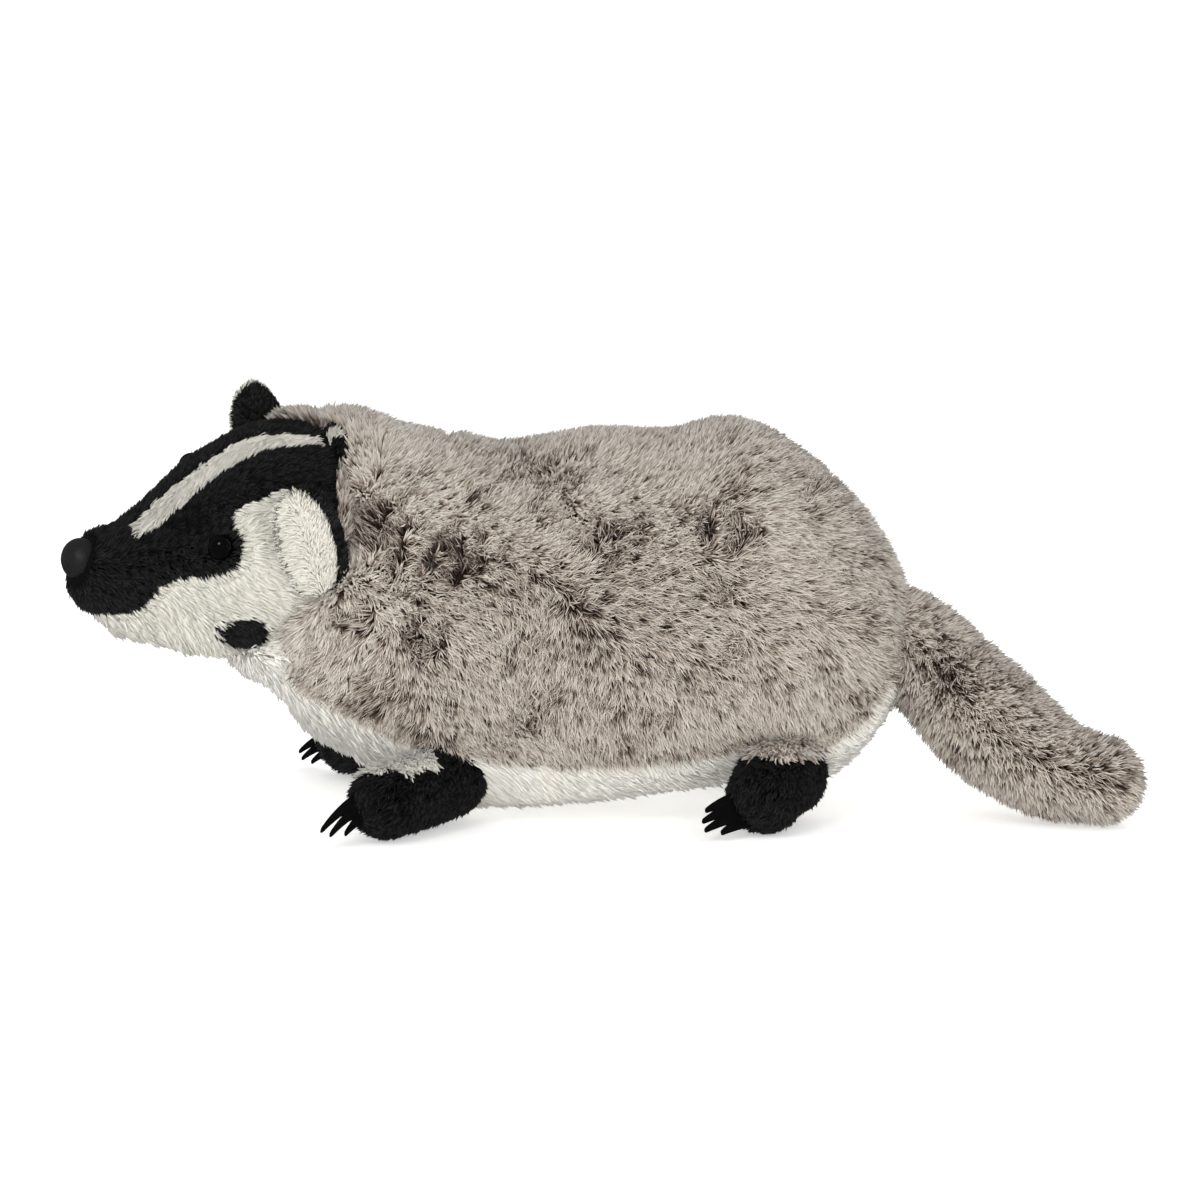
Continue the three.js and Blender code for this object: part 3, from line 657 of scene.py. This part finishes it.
def add_coat(name, coat, material, roundness=0.3):
    """One mesh of joined tufts. Each is a closed blade of four points that leaves its root steeply and
    bends over along its lay, mapped to a small patch at its root's place. Roundness is how much it's
    shaded as round, beside the surface under it."""
    root, normal, lay = coat.root, coat.normal, coat.lay
    length, width, lift, lean = coat.length[:, None], coat.width[:, None], coat.lift[:, None], coat.lean
    steep = lift + TUFT_STEEPER
    middle = root + TUFT_MIDDLE * length * (lay * np.cos(steep) + normal * np.sin(steep)) + lean * 0.3
    tip = root + length * (lay * np.cos(lift) + normal * np.sin(lift)) + lean
    across = unit(np.cross(normal, lay))
    side = across * width / 2
    blade = np.stack([root - normal, middle + side, middle - side, tip], axis=1)
    blade[..., 2] = np.maximum(blade[..., 2], TUFT_OFF_FLOOR)
    faces = (np.arange(len(root))[:, None, None] * 4 + TUFT_FACES).reshape(-1, 3)
    place = (coat.unwrap - coat.unwrap.min(axis=0)) / np.ptp(coat.unwrap, axis=0)
    uv = (MAP_EDGE + (1 - 2 * MAP_EDGE) * place[:, None] + TUFT_PATCH).reshape(-1, 2)
    out = roundness * across
    shading = unit(np.stack([normal, normal + out, normal - out, normal], axis=1)).reshape(-1, 3)
    along = np.tile([0, TUFT_MIDDLE, TUFT_MIDDLE, 1], len(root))
    values = {"along": along, "tone": np.repeat(coat.tone, 4), "bare": np.repeat(coat.bare, 4)}
    made = add_mesh(name, blade.reshape(-1, 3), faces, values, material, uv, shading)
    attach(made, "root")


def part_of(coat, kept):
    """The tufts of a coat for which kept is true."""
    return Coat(**{key: value[kept] for key, value in vars(coat).items()})


def grow_coat(grid, per_mm2, seed):
    """Roots, normals and places on the unwrapped skin of a coat's tufts: each cell of its grid gets as many
    as its area asks for, at random places in it."""
    rng = np.random.default_rng(seed)
    area = norm(np.cross(grid[1:, :-1] - grid[:-1, :-1], grid[1:, 1:] - grid[1:, :-1]), axis=-1)
    count = np.floor(area * per_mm2 + rng.random(area.shape)).astype(int)
    row, column = np.divmod(np.repeat(np.arange(area.size), count.ravel()), area.shape[1])
    row, column = row + rng.random(len(row)), column + rng.random(len(row))
    unwrap = np.stack([row / grid.shape[0], column / grid.shape[1]], axis=1)
    return Coat(root=read(grid, row, column), normal=unit(read(outward(grid), row, column)), unwrap=unwrap)


def comb(coat, way, seed, length, width, lift, clump, drawn=1.0):
    """Lays a coat's tufts along way, each a little its own length, width and lift in degrees, with tips
    drawn into clumps of about clump mm."""
    rng = np.random.default_rng(seed)
    root, normal = coat.root, coat.normal
    count = len(root)
    lay = flat_on(normal, way)
    turn = rng.normal(0, 0.4 * drawn, (count, 1))
    coat.lay = unit(lay + turn * np.cross(normal, lay))
    swell, rise = waves(root, clump, seed)
    fine, fine_rise = waves(root, clump * 0.45, seed + 1)
    slow = waves(root, clump * 6, seed + 2)[0]
    gather = drawn * (rise * clump * 0.2 + fine_rise * clump * 0.12)
    coat.lean = gather - normal * (gather * normal).sum(axis=1, keepdims=True)
    coat.bare = ease(0.3, 1.7, 0.6 * slow - 0.8 * swell - 0.6 * fine)
    coat.length = length * rng.uniform(0.82, 1.12, count)
    coat.width = width * rng.uniform(0.7, 1.25, count)
    coat.lift = np.radians(lift + rng.normal(0, 7, count) + 3 * swell)
    coat.tone = rng.random(count)
    return coat


def pile(name, stops, shade, roughness=0.75, tones=0.3, bare=0.35, gloss=0.25, sheen=0.15):
    """Pile whose colour runs from root to tip, with a shade for each tuft, and darker where it parts."""
    finish = Finish(name)
    run = finish.value("along") + (finish.value("tone") - 0.5) * tones - finish.value("bare") * bare
    colour = finish.ramp(run, [(place, tint(code)) for place, code in stops])
    tone = finish.ramp(finish.value("tone"), [(0.0, tint(shade)), (0.6, (1, 1, 1, 1))])
    colour = finish.blend(0.8, colour, tone, "MULTIPLY")
    sockets = {"Base Color": colour, "Roughness": roughness}
    return finish.surface(sockets | {"Specular IOR Level": gloss, "Sheen Weight": sheen})


def back_way(root):
    """The way the back's pile leans: back along the top, more and more down below, and forwards over the
    shoulder, with slow swirls."""
    x, z = root[:, 0], root[:, 2]
    turn = np.radians(8 + 52 * ease(128, 45, z)) + np.radians(50) * ease(-45, -80, x) * ease(95, 60, z)
    way = np.stack([np.cos(turn), np.zeros(len(x)), -np.sin(turn)], axis=1)
    return way + 0.42 * waves(root, 75, 11)[1] + 0.32 * waves(root, 28, 12)[1]


def ruffle(coat):
    """Ruffles the pile in uneven patches, where it leans against its lay and shows its roots."""
    root = coat.root
    edge, turn = waves(root, 9, 15)
    share = 0.42 * ease(0.5, 1.5, waves(root, BLOTCH, 16)[0] + 0.4 * edge)
    for x, z, long, high, strength in RUFFLES:
        near = np.exp(-(((root[:, 0] - x) / long) ** 2) - ((root[:, 2] - z) / high) ** 2)
        share = np.maximum(share, strength * ease(0.15, 0.9, near * (1 + 0.6 * edge)))
    coat.lay = flat_on(coat.normal, coat.lay + share[:, None] * (0.6 * turn + [-1.2, 0, 1]))
    coat.lift = coat.lift + 0.15 * share
    coat.bare = np.minimum(1.5, coat.bare + 1.2 * share)
    return coat


def clear_of_limbs(root):
    """True for roots that lie outside the legs, the tail and the head."""
    clear = ahead_of_seam(root) < 1.5
    for path, radii in LEGS.values():
        clear &= inside_tube(root, path, radii) < LEG_PILE
    return clear & (inside_tube(root, TAIL_PATH, TAIL_RADII) < GRIZZLED_PILE)


body_coat = grow_coat(body_skin, PILE_PER_MM2, 1)
body_coat = part_of(body_coat, clear_of_limbs(body_coat.root))
body_tips = body_coat.root + TIP_HEIGHT * body_coat.normal
belly_edge, neck_edge = body_marks(body_tips)
overhang = 3.5 * (1 - 0.5 * ease(20, 60, body_coat.root[:, 0]))
crown_root = (ahead_of_edge(body_tips) > 0) & (into_head(body_coat.root)[:, 2] > CROWN_HEIGHT)
grizzled_root = (belly_edge < -overhang) & ~crown_root
back_coat = part_of(body_coat, grizzled_root)
neck_edge = neck_edge[grizzled_root]
back_coat = ruffle(comb(back_coat, back_way(back_coat.root), seed=2, **LONG_PILE))
near_seam = np.exp(-((neck_edge / 2.0) ** 2)) * ease(4, 12, -belly_edge[grizzled_root])
back_coat.length *= 1 - 0.5 * near_seam
back_coat.bare -= 2.0 * near_seam + 0.35 * ease(-2, 6, neck_edge)
nape = ease(-20, -3, ahead_of_edge(back_coat.root)) * ease(112, 130, back_coat.root[:, 2])
forward = back_coat.lay * (1 - nape[:, None]) + np.array([-1, 0, 0.3]) * nape[:, None]
back_coat.lay = flat_on(back_coat.normal, forward)
back_coat.lift += 0.25 * nape
back_coat.bare = np.minimum(1.5, back_coat.bare + 0.5 * nape * back_coat.tone)
back_coat.length *= 1 - 0.25 * nape
tipped = [(0, "3a2f2a"), (0.25, "5f4f46"), (0.45, "a99b8f"), (0.65, "ddd2c6"), (1, "f3ece2")]
grizzled = pile("grizzled_pile", tipped, "b8ada4", tones=0.4)
x, y = back_coat.root[:, 0], back_coat.root[:, 1]
add_coat("pile_neck", part_of(back_coat, neck_edge > 0), grizzled, 0.6)
for side, kept in (("left", y < 0), ("right", y >= 0)):
    for place, low, high in (("front", -200, -32), ("middle", -32, 32), ("rear", 32, 200)):
        panel = part_of(back_coat, kept & (neck_edge <= 0) & (x >= low) & (x < high))
        add_coat(f"pile_{place}_{side}", panel, grizzled, 0.6)


# White pile of the belly. The real one is shorter and softer than the back's and lies back and outwards,
# and it shows in a band between the sides and the floor.
FLUFFY_PILE = {"width": 1.0, "clump": 8, "drawn": 0.4}

belly_coat = part_of(body_coat, ~grizzled_root & ~crown_root)
thinned = ease(16, 6, belly_coat.root[:, 2]) * 0.55
belly_coat = part_of(belly_coat, np.random.default_rng(20).random(len(thinned)) > thinned)
way = [0.8, 0, -0.5] + 0.4 * waves(belly_coat.root, 40, 21)[1]
belly_coat = comb(belly_coat, way, seed=22, length=7.5, lift=22, **FLUFFY_PILE)
white_looks = {"shade": "f0ede6", "bare": 0.05, "tones": 0.1, "sheen": 0.2}
white = pile("white_pile", [(0, "eeebe2"), (0.5, "f2efe7"), (1, "f8f6f0")], **white_looks)
y = belly_coat.root[:, 1]
add_coat("pile_belly_left", part_of(belly_coat, y < 0), white)
add_coat("pile_belly_right", part_of(belly_coat, y >= 0), white)


# Pile of the head. The real black mask is short and dense, the white of the cheeks is longer and fluffier,
# and both lie back from the nose over the brow and round the cheeks.
NOSE_AT = np.array([-88.5, 0, -4.5])
NOSE_CLEAR, EYE_CLEAR = [9, 10.5, 8.8], 4.0  # the bare places round the nose and the eyes
EYE_X, EYE_ANGLE, EYE_SUNK = -43.0, np.radians(28), 3.9
TIP_BACK, TIP_UP = 3.5, 4.5  # of a tuft from its root
SHORT_PILE = {"length": 4.4, "width": 0.55, "lift": 28, "clump": 4, "drawn": 0.7}


def clear_of_face(root):
    """True for roots on the head, ahead of its seam and clear of the nose and the eyes."""
    local = into_head(root)
    clear = ahead_of_seam(root) > -2.0
    clear &= norm((local - NOSE_AT) / NOSE_CLEAR, axis=1) > 1
    for eye in EYES_AT:
        clear &= norm(local - eye, axis=1) > EYE_CLEAR
    return clear


eye_surface = form_points(HEAD, np.array(EYE_X), EYE_ANGLE)
eye_inward = unit(np.array([EYE_X, 0, float(through(HEAD["stations"], EYE_X))]) - eye_surface)
eye_left = (eye_surface + EYE_SUNK * eye_inward) * [1, -1, 1]
EYES_AT = [eye_left, eye_left * [1, -1, 1]]

head_coat = grow_coat(head_skin, 3.2, 31)
head_coat = part_of(head_coat, clear_of_face(head_coat.root))
local = into_head(head_coat.root)
down = -0.25 - 0.5 * ease(0, -30, local[:, 2])
way = np.stack([np.ones(len(local)), np.zeros(len(local)), down], axis=1) @ HEAD_TURN.T
way = way + 0.25 * waves(head_coat.root, 30, 33)[1]
away = local - NOSE_AT
away[:, 0] = 0
front = ease(-78, -92, local[:, 0])[:, None]
way = way * (1 - front) + (unit(away) @ HEAD_TURN.T) * front
# The head's white pile, on the cheeks, the crown's end and the ear fronts, is the same white fabric as the
# belly's, given darker colours: painted shade.
painted_shade_white = pile("cheek_pile_painted_shade", [(0, "d6d3c8"), (0.5, "dad7cd"), (1, "e2dfd6")], **white_looks)
over = head_coat.root + TIP_UP * head_coat.normal
is_nape = (ahead_of_edge(over) < 0) & (local[:, 2] > CROWN_HEIGHT)
marks = head_white(into_head(over + TIP_BACK * flat_on(head_coat.normal, way)))
is_white = (marks + 0.3 * waves(head_coat.root, 6, 32)[0] > 0) & ~is_nape
is_black = ~is_white & ~is_nape
black_coat = comb(part_of(head_coat, is_black), way[is_black], seed=34, **SHORT_PILE)
soot = [(0, "0c0c0c"), (0.6, "1b1b1b"), (1, "323131")]
black = pile("black_pile", soot, "b0acaa", roughness=0.9, gloss=0.08, sheen=0.02)
add_coat("pile_mask", black_coat, black)
nape_pile = LONG_PILE | {"length": 8.0, "lift": 50}
nape_coat = comb(part_of(head_coat, is_nape), [-0.6, 0.2, 0.5], seed=36, **nape_pile)
nape_coat.bare = nape_coat.bare + 0.7 * nape_coat.tone
add_coat("pile_nape", nape_coat, grizzled, 0.6)
crown_pile = SHORT_PILE | {"length": 4.2, "width": 0.7, "lift": 26}
crown_coat = comb(part_of(body_coat, crown_root), HEAD_TURN @ [1, 0, -0.2], seed=37, **crown_pile)
spot = into_head(crown_coat.root + 4.0 * crown_coat.normal)
striped = (head_marks(spot)[1] > 0) & (spot[:, 2] > 30) & (spot[:, 1] < 3)
add_coat("pile_crown", part_of(crown_coat, ~striped), black)
add_coat("pile_crown_end", part_of(crown_coat, striped), painted_shade_white)
white_coat = comb(part_of(head_coat, is_white), way[is_white], seed=35, length=6.0, lift=18, **FLUFFY_PILE)
crown = into_head(white_coat.root)
white_coat.length *= 1 - 0.35 * ease(10, 25, crown[:, 2]) * (np.abs(crown[:, 1]) < 20)
white_coat.length *= 1 + 0.4 * ease(-12, -28, crown[:, 2])
add_coat("pile_cheeks", white_coat, painted_shade_white, 0.15)


# Pile of the ears. Each real ear has short black pile behind and longer white pile in front, both combed up
# and out to the rim, and the white lies over the fore edge, where the ear runs into the cheek.
EAR_SLANT = 0.32  # how far forward the ear leans for its height

for side, (sign, at, _) in EARS.items():
    for part, layer, material, slot, long, back in (
        ("back", FLAP, black, "black_pile", 3.6, 0.4),
        ("front", LINING, painted_shade_white, "white_pile", 4.4, 0.1),
    ):
        ear_coat = grow_coat(ear_grid(side, layer), 4.0, 41)
        spot = into_head(ear_coat.root) - np.array(at) * [1, sign, 1]
        along = spot[:, 0] + EAR_SLANT * spot[:, 2]
        kept = (layer is LINING) | (along >= -4) | (sign * ear_coat.normal[:, 1] <= 0)
        fore = ease(1, -6, along[kept])[:, None]
        way = np.array([back, 0.2 * sign, 1]) * (1 - fore) + np.array([-1, 0, -0.2]) * fore
        looks = {"length": long, "width": 0.9, "lift": 17, "clump": 7, "drawn": 0.35}
        ear_coat = comb(part_of(ear_coat, kept), way @ HEAD_TURN.T, seed=42, **looks)
        add_coat(f"pile_ear_{side}_{part}", ear_coat, material)


# Pile of the feet: short, dense and black, lying down towards the toes. The pile of the body hangs over the
# top of each leg: white at the front of the forelegs, grizzled over the hind ones.
for name, leg_skin in leg_skins.items():
    leg_coat = grow_coat(leg_skin, 2.2, 51)
    path = np.array(LEGS[name][0], float)
    root, outer_side = leg_coat.root, np.sign(path[0, 1])
    hung = above_hem(name, root) + 0.8 * waves(root, 12, 53)[0] > 0
    hanging, slot, long = (grizzled, "grizzled_pile", 8.0) if "hind" in name else (white, "white_pile", 6.0)
    way = unit(path[-1] - path[0]) + [0, 0, -0.4]
    short = comb(part_of(leg_coat, ~hung), way, seed=52, **SHORT_PILE)
    add_coat(f"pile_leg_{name}", short, black)
    looks = {"length": long, "width": 0.8, "lift": 26, "clump": 6, "drawn": 0.6}
    over = comb(part_of(leg_coat, hung), [0, 0.7 * outer_side, -1], seed=54, **looks)
    add_coat(f"pile_over_{name}", over, hanging, 0.5)


# Pile of the tail. The real one is cut from the same grizzled fabric as the back, combed towards the tip, and
# shows a little more of its dark roots.
tail_coat = grow_coat(tail_skin, PILE_PER_MM2, 61)
row = (tail_coat.unwrap[:, 0] * tail_skin.shape[0]).astype(int)
way = tail_way[row] + [0, 0, -0.25] + 0.3 * waves(tail_coat.root, 30, 62)[1]
tail_coat = comb(tail_coat, way, seed=63, **LONG_PILE | {"lift": 56})
tail_coat.bare = tail_coat.bare + 0.3
add_coat("pile_tail", tail_coat, grizzled, 0.6)


# Nose. The real one is a hard moulded dome, wide above and narrow below, with a nostril pressed into each
# side and a fine grain like leather. It is pushed through the fabric and held by a washer inside.
NOSE_DEPTH, NOSE_HALF_WIDTH, NOSE_HALF_HEIGHT = 7.5, 9.5, 7.8
NOSTRIL_AT = np.array([-6.0, 4.8, -0.8])


def nose_grid(rows=70, columns=97):
    """The nose: a flattened ball, narrower below, with two soft dents and a shallow groove between."""
    polar, angle = once_round(np.linspace(0, np.pi, rows), columns)
    up = np.sin(angle) * np.sin(polar)
    across = np.cos(angle) * np.sin(polar) * (1 - 0.3 * np.maximum(0, -up)) * NOSE_HALF_WIDTH
    dome = np.stack([-np.cos(polar) * NOSE_DEPTH, across, up * NOSE_HALF_HEIGHT], axis=-1)
    for sign in (1, -1):
        near = norm((dome - NOSTRIL_AT * [1, sign, 1]) / [4, 1.7, 2.0], axis=-1)
        dome = dome + np.exp(-(near**2))[..., None] * [1.8, -sign * 0.6, 0]
    dome[..., 0] += 0.5 * np.exp(-((dome[..., 1] / 0.7) ** 2)) * ease(1.0, -5.0, dome[..., 2])
    return dome + NOSE_AT


finish = Finish("nose_plastic")
grain = finish.noise(1400, 3)
sockets = {"Base Color": finish.blend(grain, tint("161616"), tint("242323")), "Specular IOR Level": 0.5}
sockets |= {"Roughness": grain * 0.12 + 0.3, "Normal": finish.bump(grain, 0.00025)}
nose = add_skin("nose_moulding", out_of_head(nose_grid()), {}, finish.surface(sockets))
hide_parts("nose")
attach(nose, "root")


# Eyes. The real ones are glossy black beads, each on a stem that goes through the fabric to a washer, and
# they are sunk so far that little more than the front shows.
EYE_RADIUS = 4.8

finish = Finish("eye_bead")
eye_colour = finish.blend(finish.noise(60), tint("020202"), tint("060505"))
bead = finish.surface({"Base Color": eye_colour, "Roughness": 0.06, "Specular IOR Level": 0.3})
polar, angle = once_round(np.linspace(0, np.pi, 40), 61)
ball = np.stack([np.sin(polar) * np.cos(angle), np.sin(polar) * np.sin(angle), np.cos(polar)], axis=-1)
for side, at in zip(("left", "right"), EYES_AT):
    eye = add_skin(f"eye_{side}_bead", out_of_head(ball * EYE_RADIUS + at), {}, bead)
    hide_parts(f"eye_{side}")
    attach(eye, "root")


# Claws. The real ones are combs cut from stiff black felt, joined at their root, and sewn into the front
# of each foot, so that the fingers bend down towards the floor.
CLAWS = {  # root, heading in degrees from straight ahead, tilt of the comb, lengths of its fingers, bend
    "front_left": ([-82.5, -72, 15.5], 34, 62, [16.5, 22.5, 25.5], 0.51),
    "front_right": ([-102, 62.5, 14], -30, -62, [25, 25, 21], 0.52),
    "hind_left": ([52, -61, 10.5], 30, 62, [14.5, 21, 21, 18.5], 0.25),
    "hind_right": ([52, 61, 10.5], -30, -62, [18.5, 21, 21, 14.5], 0.25),
}
CLAW_WIDTH, CLAW_TIP, CLAW_THICK, CLAW_STEP, CLAW_FAN, CLAW_WEB = 5.0, 1.8, 1.8, 3.0, 1, 0.55


def bent(x, across, up, length, bend):
    """Bends a comb in its own plane, aside by bend * length * (.4 t + .6 t^2) at the share t of its
    length."""
    t = -x / length
    return np.stack([x, across + bend * length * (0.4 * t + 0.6 * t * t), up], axis=-1)


def finger_grid(length, bend, rows=30, columns=25):
    """One finger of felt: a flat rounded section that narrows to a blunt tip."""
    t, angle = once_round(np.linspace(0, 1, rows), columns)
    close = round_end((t - 0.94) / 0.06) * np.minimum(1, t * 40)
    half = (CLAW_WIDTH + (CLAW_TIP - CLAW_WIDTH) * t**2) / 2 * close
    thick = CLAW_THICK * (1 - 0.3 * t) / 2 * close
    across, up = half * squared(np.cos(angle), 0.5), thick * squared(np.sin(angle), 0.6)
    return bent(-length * t, across, up, length, bend)


def web_grid(length, bend, wide, rows=20, columns=41):
    """The strip that joins the fingers for a share of the shortest one's length."""
    t, angle = once_round(np.linspace(0, 1, rows), columns)
    close = round_end((t - 0.8) / 0.2) * np.minimum(1, t * 30)
    across = wide * close**0.3 * squared(np.cos(angle), 0.4)
    up = CLAW_THICK * 0.42 * close * squared(np.sin(angle), 0.6)
    return bent(-length * CLAW_WEB * t, across, up, length, bend)


finish = Finish("black_felt")
sockets = {"Normal": finish.bump(finish.noise(2200, 4), 0.0003), "Roughness": 0.95, "Specular IOR Level": 0.1}
felt_colour = finish.blend(finish.noise(420), tint("060606"), tint("0e0d0d"))
felt = finish.surface({"Base Color": felt_colour} | sockets)
for name, (root, heading, tilt, lengths, bend) in CLAWS.items():
    count, down = len(lengths), -np.sign(tilt)
    combed = [web_grid(min(lengths), down * bend, (CLAW_STEP * (count - 1) + CLAW_WIDTH) / 2 * 0.95)]
    for i, length in enumerate(lengths):
        place = i - (count - 1) / 2
        finger = finger_grid(length, down * bend)
        combed.append(finger @ rotation("z", -CLAW_FAN * place).T + [0, CLAW_STEP * place, 0])
    set_in = rotation("x", tilt).T, rotation("z", heading).T
    pieces = [closed_grid(part @ set_in[0] @ set_in[1] + root) for part in combed]
    offset = np.cumsum([0] + [len(points) for points, faces in pieces[:-1]])
    points = np.vstack([points for points, faces in pieces])
    faces = np.vstack([faces + start for (_, faces), start in zip(pieces, offset)])
    claw = add_mesh(f"claws_{name}_felt", points, faces, {}, felt)
    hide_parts(f"claws_{name}")
    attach(claw, "root")


# Floor. The real one is a plain white sheet that shows no edge and hardly any shadow, so this one is pale and
# lit a little from below, like a studio's light table.
finish = Finish("pale_floor")
floor_colour = finish.blend(finish.noise(3.0), tint("fafaf9"), tint("fefefd"))
bpy.ops.mesh.primitive_plane_add(size=60)
floor = bpy.context.object
floor.name = "floor"
glow = {"Emission Color": (1, 1, 1, 1), "Emission Strength": 0.45}
floor.data.materials.append(finish.surface({"Base Color": floor_colour, "Roughness": 0.9} | glow))
floor.visible_glossy = False


# Studio light: a bright surround, a little dimmer overhead, that glossy surfaces see only faintly, a small
# key light above and in front, and large soft ones that fill in from in front and behind.
finish = Finish("surround", bpy.data.worlds, "Background")
height = finish.node("SeparateXYZ", "Z", {"Vector": finish.node("TexCoord", "Generated")})
dim = finish.node("MapRange", "Result", {"Value": height, "From Min": 0.15, "To Min": 1.08, "To Max": 0.7})
glossy = finish.node("LightPath", "Is Glossy Ray")
dim = finish.node("MapRange", "Result", {"Value": glossy, "To Min": dim, "To Max": 0.1})
bpy.context.scene.world = finish.surface({"Color": (1, 1, 1, 1), "Strength": dim})
for name, at, size, power in (
    ("key", (-0.5, -1.3, 1.5), 0.55, 5.0),
    ("fill", (0.1, -1.7, 0.12), 0.9, 7.0),
    ("back", (0.6, 1.0, 1.2), 1.0, 2.0),
):
    lamp = bpy.data.lights.new(name, "AREA")
    lamp.size = size
    lamp.energy = power
    light = bpy.data.objects.new(name, lamp)
    light.location = at
    light.visible_glossy = name == "key"
    light.rotation_euler = (-Vector(at)).to_track_quat("-Z", "Y").to_euler()
    bpy.context.scene.collection.objects.link(light)


# Camera. It stands where the photograph's does, square to the toy's left side and looking a little down on
# it, with a long lens.
TARGET = Vector((-0.000775, 0.0049, 0.0778))
ELEVATION, AWAY = np.radians(8), 1.5
lens = bpy.data.cameras.new("camera")
lens.lens = 120
lens.sensor_width = 36
camera = bpy.data.objects.new("camera", lens)
camera.location = TARGET + AWAY * Vector((0, -np.cos(ELEVATION), np.sin(ELEVATION)))
camera.rotation_euler = (TARGET - camera.location).to_track_quat("-Z", "Y").to_euler()
bpy.context.scene.collection.objects.link(camera)
bpy.context.scene.camera = camera
bpy.context.scene.view_settings.view_transform = "Standard"
